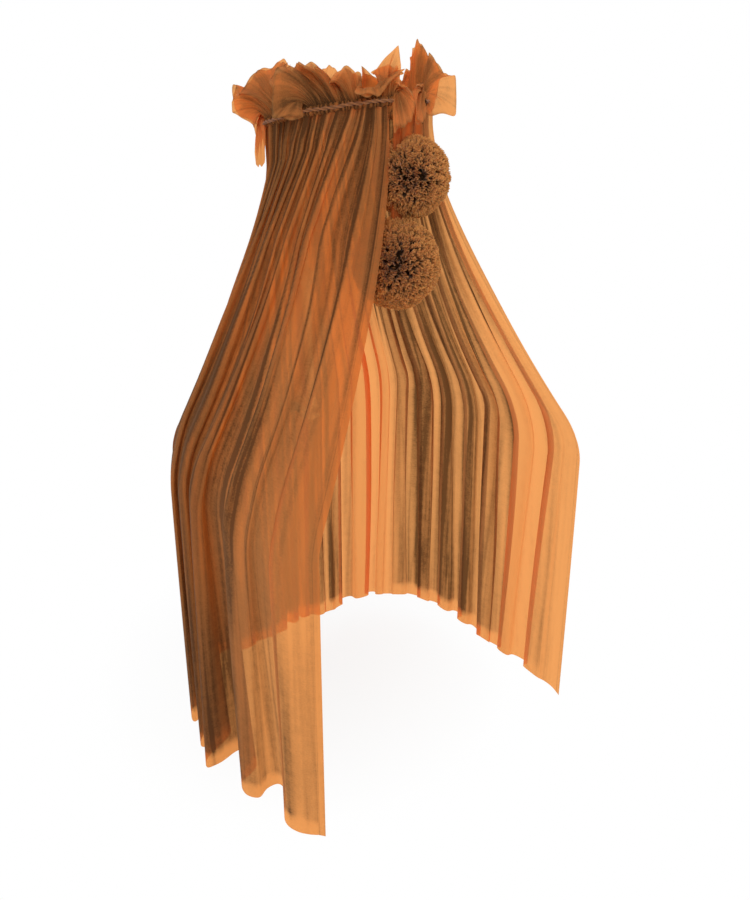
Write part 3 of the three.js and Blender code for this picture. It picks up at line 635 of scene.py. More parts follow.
@dataclass
class Veil:
    """The pleated veil: four drops sewn edge to edge, and the turned edges down the opening.

    A place across it is counted in folds from the left edge, and a place down it runs from 0 at the
    casing over 1 where it breaks into its straight fall to 2 at the hem.
    """

    crown: CrownPlan
    folds: int = 40
    length: float = 1.55
    top_drop: float = 0.006
    hoop_left: float = 263.5
    hoop_right: float = -41.0
    spread_left: float = 228.8
    spread_right: float = -49.5
    outline_across: float = -0.035
    outline_back: float = -0.150
    half_length: float = 0.390
    half_width: float = 0.375
    corner: float = 0.203
    clearance: float = 0.004
    break_height: float = 0.032
    floor_height: float = -0.824
    hem_height: float = 0.068
    hem_flare: float = 0.020
    hem_wave: float = 0.010
    top_depth: float = 0.0045
    break_depth: float = 0.009
    hem_depth: float = 0.019
    fine_depth: float = 0.0024
    front_fullness: float = 0.018
    cloth_to_fold: float = 0.062
    columns_to_fold: int = 26
    rows: int = 136
    edge_width: float = 0.015
    pole_x: float = 0.0
    clamp_width: float = 0.032
    clamp_bulge: float = 0.016
    turn_of_break: float = 0.085
    gather_shade: float = 0.28
    fine_shade: float = 0.55
    pleat_shade: float = 1.7
    fold_shade: float = 1.5
    near_side_shade: float = 0.24
    near_edge_shade: float = 0.16
    even_tone: float = 0.42
    slants: tuple = (
        (0, 0), (0.05, 0.75), (0.1, 1.2), (0.2, 1.6), (0.32, 1.7), (0.5, 1.05), (0.75, 0.4), (1, 0),
    )
    sweep_powers: tuple = (
        (0, 1.5), (0.12, 1.25), (0.3, 1.1), (0.45, 1.2), (0.6, 1.6), (0.85, 1.7), (1, 1.4),
    )
    hangs: tuple = ((0, 0.05), (0.25, 0.1), (0.5, 0.1), (0.9, 0.06), (1, 0.04))
    hems: tuple = ((0, 2.7), (0.05, 2.2), (0.1, 1.6), (0.16, 1.2), (0.3, 1), (0.9, 1), (1, 1.15))
    broad_folds: tuple = ((0, -0.3), (0.5, 0), (2.5, 1), (5.5, 2), (7.2, 3), (9, 4), (12, 5.7), (40, 22))
    # The tone across the veil, fold by fold, in its upper and lower parts: painted shade, lighter where the
    # net hangs single and lit through and darker where its layers and folds lie close.
    upper_tones: tuple = (
        (0, 0.34), (0.5, 0.18), (1, 0.36), (1.6, 0.5), (2.2, 0.34), (2.7, 0.05), (3.2, 0.4), (3.8, 0.56),
        (4.3, 0.34), (4.7, 0.05), (5.3, 0.54), (6, 0.44), (7, 0.62), (8.4, 0.5), (10, 0.56), (14, 0.46),
        (24, 0.5), (26, 0.25), (28, 0.8), (33, 0.85), (36, 0.72), (38.5, 0.66), (39.4, 0.2), (40, 0.1),
    )
    lower_tones: tuple = (
        (0, 0.16), (0.6, 0.06), (1, 0.24), (1.4, 0.46), (2.2, 0.66), (3.6, 0.66), (5, 0.72), (9, 0.86),
        (12, 0.82), (14, 0.6), (24, 0.6), (25.2, 0.0), (28, -0.06), (28.8, 0.66), (32, 0.8), (36.6, 0.68),
        (37.3, 0.0), (38.3, -0.05), (38.8, 0.3), (40, 0.05),
    )

    def place(self, fold: np.ndarray) -> np.ndarray:
        """The share of the way round at a fold, where some folds are a little wider than others."""
        share = fold / self.folds
        return share + 0.004 * np.sin(7 * math.pi * share) + 0.0025 * np.sin(19 * math.pi * share)

    def outline(self, bearing: np.ndarray) -> np.ndarray:
        """Where rays from under the crown's middle cross the rounded rectangle that the veil falls over.

        Args:
            bearing: the rays' bearings, in radians.

        Returns:
            Points in plan, one row a ray.
        """
        start = np.array(self.crown.centre)[:2]
        middle = start + np.array((self.outline_across, self.outline_back))
        radius = self.corner + self.clearance
        inner = np.array((self.half_length, self.half_width)) + self.clearance - radius
        heading = np.stack([np.cos(bearing), np.sin(bearing)], 1)
        near, far = np.zeros(len(bearing)), np.full(len(bearing), 2 * (self.half_length + self.half_width))
        for _ in range(30):
            reach = (near + far) / 2
            over = np.abs(start + heading * reach[:, None] - middle) - inner
            outside = np.hypot(np.maximum(over[:, 0], 0), np.maximum(over[:, 1], 0))
            inside = outside + np.minimum(over.max(1), 0) - radius < 0
            near, far = np.where(inside, reach, near), np.where(inside, far, reach)
        return start + heading * near[:, None]

    def table(self, pairs: Sequence[tuple[float, float]], at: np.ndarray, blur: float = 0.03) -> np.ndarray:
        """Reads a table of places and values, with its corners rounded off."""
        places, values = np.array(pairs, float).T
        return sum(np.interp(at + step, places, values) for step in (-blur, -blur / 2, 0, blur / 2, blur)) / 5

    def spine(self, fold: np.ndarray, down: np.ndarray) -> np.ndarray:
        """The veil's surface without its folds, with its turn at the break rounded off.

        Args:
            fold: places across, in folds.
            down: places down, from 0 to 2.

        Returns:
            One row a point. Below the break it stays at the break's height.
        """
        reach = self.turn_of_break * (1 + 0.5 * drift(fold * 0.8, 12.0))
        steps = (-1, -0.75, -0.5, -0.25, 0, 0.25, 0.5, 0.75, 1)
        points = self.taut_spine(fold, down)
        rounded = sum(self.taut_spine(fold, down + step * reach) for step in steps) / len(steps)
        near = np.clip((down - 0.5) / 0.3, 0, 1)[:, None] * (1, 1, 0)
        return points + (rounded - points) * near

    def taut_spine(self, fold: np.ndarray, down: np.ndarray) -> np.ndarray:
        """The same surface with a sharp turn at the break.

        Args:
            fold: places across, in folds.
            down: places down, from 0 to 2.

        Returns:
            One row a point.
        """
        place = self.place(fold)
        angle = np.radians(self.hoop_left + (self.hoop_right - self.hoop_left) * place)
        bearing = np.radians(self.spread_left + (self.spread_right - self.spread_left) * place)
        top = self.crown.at(angle, self.crown.radius, -self.top_drop)
        marks = np.linspace(bearing.min(), bearing.max(), 1200)
        feet = self.outline(marks)
        foot = np.stack([np.interp(bearing, marks, feet[:, axis]) for axis in (0, 1)], 1)
        hang = self.table(self.hangs, place)
        power = self.table(self.sweep_powers, place)
        fall = np.minimum(down, 1)
        sweep = np.maximum(0, (fall - hang) / (1 - hang)) ** power
        across = top[:, 0] + (foot[:, 0] - top[:, 0]) * sweep
        back = top[:, 1] + (foot[:, 1] - top[:, 1]) * sweep
        height = top[:, 2] + (self.break_height - top[:, 2]) * fall
        return np.stack([across, back, height], 1)

    def slant(self, fold: np.ndarray, down: np.ndarray) -> np.ndarray:
        """How many folds the pleats lean over at a place, from the corner of the opening to the side."""
        leaning = smoothstep(fold, 0, 4) * (1 - smoothstep(fold, 8, 15))
        return self.table(self.slants, down) * leaning

    def waves(self, fold: np.ndarray, down: np.ndarray) -> tuple[np.ndarray, np.ndarray, np.ndarray]:
        """The three families of pleats: fine ones in the gather, main ones, and broad ones below.

        Args:
            fold: places across, in folds.
            down: places down, from 0 to 2.

        Returns:
            The phases of each, in radians.
        """
        fold = fold - self.slant(fold, down)
        fine = FULL_TURN * 3 * fold + 2.2 * drift(fold, 3.0) + 1.2 * drift(fold * 0.8 + 4 * down, 9.0)
        main = FULL_TURN * fold + 1.1 * drift(fold * 0.6 + 0.5 * down, 1.0)
        broad = FULL_TURN * self.table(self.broad_folds, fold, 0.6)
        sway = 1.2 * drift(fold * 0.5 + 0.8 * down, 2.0) + 0.8 * drift(fold * 0.23, 14.0)
        return fine, main, broad + sway * (0.4 + 0.6 * smoothstep(fold, 8, 12))

    def depths(self, fold: np.ndarray, down: np.ndarray) -> tuple[np.ndarray, np.ndarray, np.ndarray]:
        """How deep each family of pleats is at a place.

        Args:
            fold: places across, in folds.
            down: places down, from 0 to 2.

        Returns:
            The depths of each, in metres.
        """
        uneven = 1 + 0.45 * drift(fold * 1.1, 4.0)
        fine = self.fine_depth * np.exp(-down / 0.16) * (1 + 0.5 * drift(fold * 2.3, 5.0))
        fullness = 1 + 1.1 * np.minimum(down, 0.5)
        main = self.top_depth * uneven * fullness * (1 - 0.72 * smoothstep(down, 0.2, 1.0))
        growth = self.break_depth + (self.hem_depth - self.break_depth) * np.maximum(0, down - 1)
        edge = 0.35 + 0.65 * smoothstep(fold, 0.5, 3.5)
        broad = growth * smoothstep(down, 0.06, 0.6) * (1 + 0.5 * drift(fold * 0.7, 6.0)) * edge
        return fine, main, broad

    def surface(self, fold: np.ndarray, down: np.ndarray) -> np.ndarray:
        """The pleated cloth.

        Args:
            fold: places across, in folds.
            down: places down, from 0 to 2.

        Returns:
            One row a point.
        """
        step = 0.05
        spine = self.spine(fold, down)
        along = (self.spine(fold + step, down) - self.spine(fold - step, down))[:, :2] / (2 * step)
        width = np.linalg.norm(along, axis=1)
        along = along / width[:, None]
        outward = np.stack([-along[:, 1], along[:, 0]], 1)
        phases, depths = self.waves(fold, down), self.depths(fold, down)
        out = sum(depth * np.cos(phase) for phase, depth in zip(phases, depths))
        loose = self.front_fullness * (1 - smoothstep(fold, 6, 10)) * smoothstep(fold, 0, 2)
        out = out + loose * np.maximum(0, down - 1) * (np.cos(phases[2]) - 1)
        seat = 0.9 * (depths[1] + depths[2]) * smoothstep(down, 0.1, 1)
        flare = self.hem_flare * np.maximum(0, down - 1) ** 0.7
        beside = (np.abs(spine[:, 0] - self.pole_x) - self.clamp_width / 2) / (self.clamp_width / 2)
        over_clamp = np.where(spine[:, 1] > self.crown.back, 1 - smoothstep(beside, 0.5, 3), 0)
        bulge = self.clamp_bulge * over_clamp * smoothstep(down, 0.55, 0.88)
        lap = 1.5 + 0.8 * drift(fold * 0.9 + 0.4 * down, 7.0)
        closeness = 1 - 0.35 * smoothstep(down, 1.2, 2)
        inside = smoothstep(fold, 0, 1.5) * smoothstep(-fold, -self.folds, 1.5 - self.folds)
        narrow = np.sin(2 * phases[1]) * (1 - 0.75 * smoothstep(down, 0.3, 1.0))
        wide = 2.3 * np.sin(2 * phases[2]) * smoothstep(down, 0.15, 0.9)
        aside = width / (4 * math.pi) * lap * closeness * (narrow + wide) * inside
        spine[:, :2] += outward * (out + seat + flare + bulge)[:, None] + along * aside[:, None]
        hem = self.floor_height + self.hem_height * self.table(self.hems, self.place(fold), 0.02)
        hem = hem - self.hem_wave * (1 + loose / self.front_fullness) * np.cos(phases[2])
        below = self.break_height + (hem - self.break_height) * (down - 1)
        spine[:, 2] = np.where(down > 1, below, spine[:, 2])
        return spine

    def fall(self, share: np.ndarray) -> np.ndarray:
        """The place down for an even share of the sheet's rows, closer together in the gather."""
        return np.interp(share, (0, 0.14, 0.56, 1), (0, 0.09, 1, 2))

    def tone(self, fold: np.ndarray, down: np.ndarray) -> np.ndarray:
        """The cloth's painted shading: 0 where it hangs single and lit through, 1 where its pleats lie close
        in shade.

        Args:
            fold: places across, in folds.
            down: places down, from 0 to 2.

        Returns:
            The tone at each place.
        """
        phases = self.waves(fold, down)
        line = fold - self.slant(fold, down)
        lower = smoothstep(down, 0.4, 0.95)
        upper_tone = self.table(self.upper_tones, line, 0.1)
        lower_tone = self.table(self.lower_tones, fold, 0.1)
        base = upper_tone * (1 - lower) + lower_tone * lower
        shaded = self.near_side_shade * (1 - smoothstep(fold, 14, 20))
        shaded = shaded + self.near_edge_shade * (1 - smoothstep(fold, 1.2, 2.5))
        base = base + shaded * smoothstep(down, 1.15, 1.6)
        # A band just above the hem is painted lighter.
        base = base - 0.8 * smoothstep(down, 1.93, 1.97) * smoothstep(base, 0.1, 0.5)
        # Painted shade that deepens towards the gather at the top, and in its fine pleats.
        gathered = self.gather_shade * np.exp(-down / 0.2)
        close = self.fine_shade * (0.5 - 0.5 * np.cos(phases[0])) ** 2 * np.exp(-down / 0.35)
        pleats = self.pleat_shade * self.lap_shade(phases[1]) * (1 - 0.6 * smoothstep(down, 0.4, 1.1))
        folds = self.fold_shade * self.lap_shade(phases[2]) * smoothstep(down, 0.4, 1.0)
        calm = 0.4 + 0.6 * smoothstep(base, 0.05, 0.4)
        tone = base + gathered + (pleats + folds + close + 0.1 * drift(line * 1.3, 8.0)) * calm
        near_edge = (1 - smoothstep(fold, 2.5, 4.5)) * (1 - smoothstep(down, 1.9, 1.97))
        even = 0.7 * smoothstep(down, 1.1, 1.5) * near_edge
        return tone + (self.even_tone - tone) * even

    def lap_shade(self, phase: np.ndarray) -> np.ndarray:
        """The shade of one lap of cloth: light along its edge and dark in the shadow beside the edge.

        Args:
            phase: the phase of the pleats, in radians.

        Returns:
            What the lap adds to the tone.
        """
        share = phase / FULL_TURN % 1
        shadow = 0.62 * np.exp(-share / 0.22) * smoothstep(share, 0, 0.07)
        return shadow - 0.36 * np.exp((share - 1) / 0.07) * (1 - share**40) - 0.08

    def drop(self, which: Drop) -> bpy.types.Object:
        """Makes one drop of the veil.

        Args:
            which: the drop.

        Returns:
            Its sheet.
        """
        span = self.folds / len(Drop)

        def over(read: OverCloth) -> OverCloth:
            """Reads a function of folds and places down over the shares of this drop's grid."""
            return lambda across, down: read(span * which.value + span * across, self.fall(down))

        return ClothGrid(
            name=f"veil_drop_{which.name.lower()}",
            columns=int(span * self.columns_to_fold),
            rows=self.rows,
            flat=(self.cloth_to_fold * span, self.length),
            place=over(self.surface),
            tone=over(self.tone),
            skew=over(lambda fold, down: -self.cloth_to_fold * self.slant(fold, down)),
        ).build()

    def edge(self, name: str, fold: float, inward: float) -> bpy.types.Object:
        """Makes the turned and sewn edge down one side of the opening.

        Args:
            name: the piece's name.
            fold: the place of the edge across the veil.
            inward: 1 where the veil lies at larger folds and -1 where it lies at smaller ones.

        Returns:
            The edge's narrow sheet, which is doubled cloth.
        """

        def laid(across: np.ndarray, down: np.ndarray) -> np.ndarray:
            """Carries the strip on from the edge of the veil."""
            fall = self.fall(down)
            rim = self.surface(np.full_like(across, fold), fall)
            inner = self.surface(np.full_like(across, fold + inward * 0.02), fall)
            along = rim - inner
            along[:, 2] = 0
            along /= np.linalg.norm(along, axis=1)[:, None]
            return rim + along * (self.edge_width * across)[:, None]

        def shade(across: np.ndarray, down: np.ndarray) -> np.ndarray:
            """The stitched line is darker than the turned cloth, and painted shade deepens towards the gather
            at the top.
            """
            stitches = 0.3 * np.exp(-(((across - 0.12) / 0.06) ** 2))
            return 0.16 + stitches + 0.25 * np.exp(-self.fall(down) / 0.2)

        return ClothGrid(name, 8, self.rows, (self.edge_width, self.length), laid, shade).build()

    def build(self, wardrobe: Wardrobe) -> list[bpy.types.Object]:
        """Makes, dresses and hangs every sheet of the veil.

        Args:
            wardrobe: the finishes.

        Returns:
            The four drops and the two turned edges.
        """
        sheets = [(self.drop(which), f"veil_{which.name.lower()}") for which in Drop]
        for side, fold, inward in (("left", 0.0, 1.0), ("right", float(self.folds), -1.0)):
            sheets.append((self.edge(f"turned_edge_{side}", fold, inward), f"edge_tape_{side}"))
        for piece, node in sheets:
            wardrobe.dress(piece, Finish.VEIL, "crown", node)
        return [piece for piece, _ in sheets]


# Header


@dataclass
class Header:
    """The gathered top of the veil: its casing on the hoop, the gathering cord and the wide ruffle.

    The ruffle is one doubled band. Each of its corners gives the bearing where the cloth leaves the
    casing, the bearing of the corner itself, and how far outside and above the hoop it lies, in
    degrees and millimetres, and how dark it hangs there, which is painted shade together with the
    darkness of the doubled cloth. Between corners the band lies in flat leaves, as stiff net does.
    """

    crown: CrownPlan
    casing_half_width: float = 0.007
    casing_half_height: float = 0.0085
    base_sink: float = 0.003
    casing_left: float = 267.5
    casing_right: float = -58.0
    casing_pleats: int = 120
    casing_pleat_depth: float = 0.0014
    casing_flat: tuple = (1.9, 0.058)
    cord_radius: float = 0.0026
    cord_lay: float = 0.016
    cord_flat: tuple = (1.0, 0.012)
    leaf_columns: int = 12
    leaf_rows: int = 22
    layer_gap: float = 0.0035
    pleats_to_leaf: float = 1.7
    pleat_depth: float = 0.0028
    cloth_to_leaf: float = 0.052
    cloth_height: float = 0.115
    corners: tuple = (
        (271, 263, 16, -45, 0.5), (270.5, 269, 20, -50, 0.45), (270, 276, 20, -36, 0.5),
        (269, 282, 20, -12, 0.4), (268, 280, 18, 16, 0.35), (267, 271, 17, 22, 0.5),
        (266, 272, 22, 58, 0.2), (263, 270, 28, 86, 0.08), (260, 262, -42, 52, 0.3),
        (258, 275, 28, 46, 0.5), (254, 257, 8, 13, 0.55), (250, 240, 40, 12, 0.5),
        (247, 250, -8, 46, 0.5), (243, 240, 10, 62, 0.4), (239, 229, 40, 36, 0.5),
        (235, 226, -20, 46, 0.55), (231, 222, 50, 66, 0.5), (228, 205, -9, 84, 0.6),
        (225, 200, 10, 54, 0.75), (221, 205, 0, 78, 0.7), (217, 200, 44, 64, 0.8),
        (212, 195, 50, 0, 0.8), (208, 210, 14, -14, 0.75), (203, 190, 30, 60, 0.75),
        (198, 180, -42, 96, 0.5), (193, 170, -22, 98, 0.5), (188, 158, 10, 88, 0.45),
        (182, 170, 60, 50, 0.6), (177, 156, 46, 72, 0.4), (172, 150, 60, 61, 0.35),
        (167, 148, 66, 31, 0.3), (162, 160, 26, 0, 0.35), (157, 142, 30, 20, 0.3),
        (154.5, 146, 26, -16, 0), (153, 149, 32, -44, -0.2), (151.5, 152, 35, -64, -0.2),
        (150, 156, 34, -77, -0.2), (148.5, 163, 29, -78, -0.2), (147, 169, 22, -64, -0.2),
        (145.5, 172, 18, -26, -0.1), (142, 138, 10, 50, 0.3), (136, 126, 16, 103, 0.25),
        (130, 118, 6, 112, 0.3), (124, 112, -24, 132, 0.05), (117, 103, -26, 126, 0.08),
        (110, 94, 4, 112, 0.3), (103, 88, -34, 119, 0.12), (96, 80, -24, 119, 0.08), (89, 73, 8, 106, 0.3),
        (81, 66, -28, 116, 0.05), (73, 59, -26, 114, 0.1), (65, 50, 10, 92, 0.35),
        (57, 46, -30, 100, 0.2), (49, 34, 0, 76, 0.45), (41, 30, -50, 98, 0.3), (33, 20, 44, 58, 0.4),
        (25, 14, -20, 94, 0.35), (17, 4, 50, 46, 0.4), (9, -4, 0, 84, 0.35), (1, -10, 46, 64, 0.4),
        (-5, -10, 6, 121, 0.2), (-9, -17, 10, 126, 0.25), (-15, -24, 16, 110, 0.42),
        (-23, -28, 36, 52, 0.55), (-30, -30, 24, 96, 0.5), (-36, -38, 46, 48, 0.5), (-42, -42, 66, 38, 0.15),
        (-47, -46, 60, -34, 0.1), (-51, -52, 4, -24, 0.35), (-54, -60, 8, 30, 0.5),
        (-56, -78, 18, 10, 0.4), (-57, -78, 18, -38, 0.45), (-58, -68, 18, -41, 0.45),
        (-59, -62, 14, -8, 0.5),
    )

    def edge(self, place: np.ndarray) -> tuple[np.ndarray, ...]:
        """Reads the corners at places counted in leaves, with small rounds at the creases.

        Args:
            place: places along the band, from 0 at the left end.

        Returns:
            The base's bearings and the free edge's bearings, distances out, heights and darkness.
        """
        rows = np.array(self.corners, float) * (1, 1, 0.001, 0.001, 1)
        counts = np.arange(len(rows))
        blur = (-0.12, -0.06, 0, 0.06, 0.12)
        values = [
            sum(np.interp(place + step, counts, column) for step in blur) / len(blur) for column in rows.T
        ]
        return np.radians(values[0]), np.radians(values[1]), *values[2:]

    def pleat(self, place: np.ndarray, layer: int) -> np.ndarray:
        """The wave of the band's small pleats, between -1 and 1."""
        return np.cos(FULL_TURN * self.pleats_to_leaf * place + 1.1 * drift(place, 3.0 + layer))

    def ruffle(self, place: np.ndarray, up: np.ndarray, layer: int) -> np.ndarray:
        """Points of the band.

        Args:
            place: places along it, in leaves.
            up: 0 at the casing and 1 at the free edge.
            layer: 0 for the outer cloth and 1 for the inner one.

        Returns:
            One row a point.
        """
        base_angle, edge_angle, out, height, dark = self.edge(place + 0.16 * layer)
        top = self.casing_half_height - self.base_sink
        pleat = self.pleat_depth * self.pleat(place, layer)
        radius = self.crown.radius + self.layer_gap * (0.5 - layer) + pleat * (1 - up) ** 2
        base = self.crown.at(base_angle, radius, np.full_like(place, top))
        longer = 1 + layer * (0.05 + 0.05 * drift(place * 1.7, 9.0))
        inset = layer * self.layer_gap * 1.6
        curl = 0.006 * drift(place * 2.3, 2.0 + layer)
        tip = self.crown.at(edge_angle, self.crown.radius + out * longer - inset, height * longer + curl)
        rise = 0.030 + 0.3 * np.maximum(height, 0)
        knee_angle = base_angle * 0.65 + edge_angle * 0.35
        knee = self.crown.at(knee_angle, self.crown.radius + out * 0.22, top + rise)
        share = (up * (1 - 0.42 * layer * (1 - smoothstep(dark, 0.1, 0.34))))[:, None]
        points = base * (1 - share) ** 2 + knee * 2 * share * (1 - share) + tip * share**2
        billow = 0.0045 * np.sin(math.pi * up) * np.sin(FULL_TURN * place + 1.7 * layer)
        crease = 0.0016 * np.sin(FULL_TURN * 3.1 * place + 5 * up) * np.sin(math.pi * up)
        return points + self.crown.outward(edge_angle) * (billow + crease)[:, None]

    def ruffle_tone(self, place: np.ndarray, up: np.ndarray, layer: int) -> np.ndarray:
        """The ruffle's painted shading: shade dense at the casing, with shaded creases running out of it.

        Args:
            place: places along it, in leaves.
            up: 0 at the casing and 1 at the free edge.
            layer: 0 for the outer cloth and 1 for the inner one.

        Returns:
            The tone at each place.
        """
        rays = 0.5 + 0.5 * self.pleat(place, layer)
        fine = 0.5 + 0.5 * np.sin(FULL_TURN * 4.3 * place + 2 * drift(place * 0.7, 5.0))
        dark = self.edge(place)[4]
        # Painted shade: the corners' darkness, shade crowded at the casing and along the creases, a lighter
        # band inside the free edge and a darker edge.
        crowd = 0.36 * np.exp(-up / 0.2)
        creases = (0.3 * rays**2 + 0.2 * fine**2) * np.exp(-up / 0.35)
        rim = 0.3 * smoothstep(up, 0.955, 0.99) - 0.14 * smoothstep(up, 0.8, 0.9)
        return 0.7 * dark + crowd + creases + rim + 0.09 * drift(place * 1.9 + 2 * up, 6.0)

    def band(self, layer: int, wardrobe: Wardrobe) -> bpy.types.Object:
        """Makes one layer of the ruffle.

        Args:
            layer: 0 for the outer cloth and 1 for the inner one.
            wardrobe: the finishes.

        Returns:
            Its sheet.
        """
        leaves = len(self.corners) - 1
        piece = ClothGrid(
            name=("header_ruffle_outer", "header_ruffle_inner")[layer],
            columns=leaves * self.leaf_columns,
            rows=self.leaf_rows,
            flat=(leaves * self.cloth_to_leaf, self.cloth_height),
            place=lambda across, up: self.ruffle(across * leaves, up, layer),
            tone=lambda across, up: self.ruffle_tone(across * leaves, up, layer),
        ).build()
        nodes = (("header_ruffle_left", "header_ruffle_right"), ())[layer]
        wardrobe.dress(piece, Finish.RUFFLE, "crown", *nodes)
        return piece

    def span(self) -> tuple[float, float]:
        """The bearings of the casing's two ends."""
        return math.radians(self.casing_left), math.radians(self.casing_right)

    def casing(self, wardrobe: Wardrobe) -> bpy.types.Object:
        """Makes the scrunched tunnel that the hoop runs through.

        Args:
            wardrobe: the finishes.

        Returns:
            Its sheet.
        """
        start, end = self.span()

        def phase(along: np.ndarray) -> np.ndarray:
            """The phase of the fine pleats."""
            return FULL_TURN * self.casing_pleats * along + 3.4 * drift(along * 60, 1.0)

        def laid(along: np.ndarray, round_: np.ndarray) -> np.ndarray:
            """Wraps the cloth round the hoop, in fine pleats that the cord pinches at the middle."""
            angle = start + (end - start) * along
            turn = FULL_TURN * round_
            ripple = self.casing_pleat_depth * np.cos(phase(along) + 0.6 * np.sin(turn))
            pinch = 0.0018 * np.exp(-((np.sin(turn) / 0.25) ** 2)) * (np.cos(turn) > 0)
            out = (self.casing_half_width + ripple - pinch) * np.cos(turn)
            rise = (self.casing_half_height + 0.4 * ripple) * np.sin(turn)
            return self.crown.at(angle, self.crown.radius + out, rise)

        def shade(along: np.ndarray, round_: np.ndarray) -> np.ndarray:
            """The tunnel's dense folds are painted dark, with painted shade in the valleys of its fine
            pleats.
            """
            return 0.74 - 0.2 * np.cos(phase(along)) + 0.12 * drift(along * 90, 4.0)

        columns = self.casing_pleats * 8
        piece = ClothGrid("header_casing", columns, 20, self.casing_flat, laid, shade).build()
        wardrobe.dress(piece, Finish.VEIL, "crown", "casing")
        return piece

    def cord(self, wardrobe: Wardrobe) -> bpy.types.Object:
        """Makes the twisted gathering cord that sits in the pleats of the casing.

        Args:
            wardrobe: the finishes.

        Returns:
            The cord.
        """
        start, end = self.span()
        line = self.crown.radius + self.casing_half_width + self.cord_radius * 0.6
        turns = abs(end - start) * line / self.cord_lay

        def strands(along: np.ndarray, round_: np.ndarray) -> np.ndarray:
            """1 on the middle of a strand and -1 in the groove between two."""
            return np.cos(2 * (FULL_TURN * round_ - FULL_TURN * turns / 2 * along))

        def laid(along: np.ndarray, round_: np.ndarray) -> np.ndarray:
            """Sweeps a two-lobed section along the hoop and twists it."""
            angle = start + (end - start) * along
            turn = FULL_TURN * round_
            sway = 0.0012 * drift(along * 40, 2.0)
            size = self.cord_radius * (1 + 0.34 * strands(along, round_))
            return self.crown.at(angle, line + size * np.cos(turn), sway + size * np.sin(turn))

        def shade(along: np.ndarray, round_: np.ndarray) -> np.ndarray:
            """Painted shade in the grooves between the strands."""
            return 0.45 - 0.35 * strands(along, round_)

        piece = ClothGrid("drawstring", int(turns * 10), 10, self.cord_flat, laid, shade).build()
        return wardrobe.dress(piece, Finish.CORD, "crown", "gathering_cord")

    def build(self, wardrobe: Wardrobe) -> list[bpy.types.Object]:
        """Makes, dresses and hangs the header.

        Args:
            wardrobe: the finishes.

        Returns:
            The casing, the cord and both layers of the ruffle.
        """
        return [self.casing(wardrobe), self.cord(wardrobe), self.band(0, wardrobe), self.band(1, wardrobe)]


# Pompoms


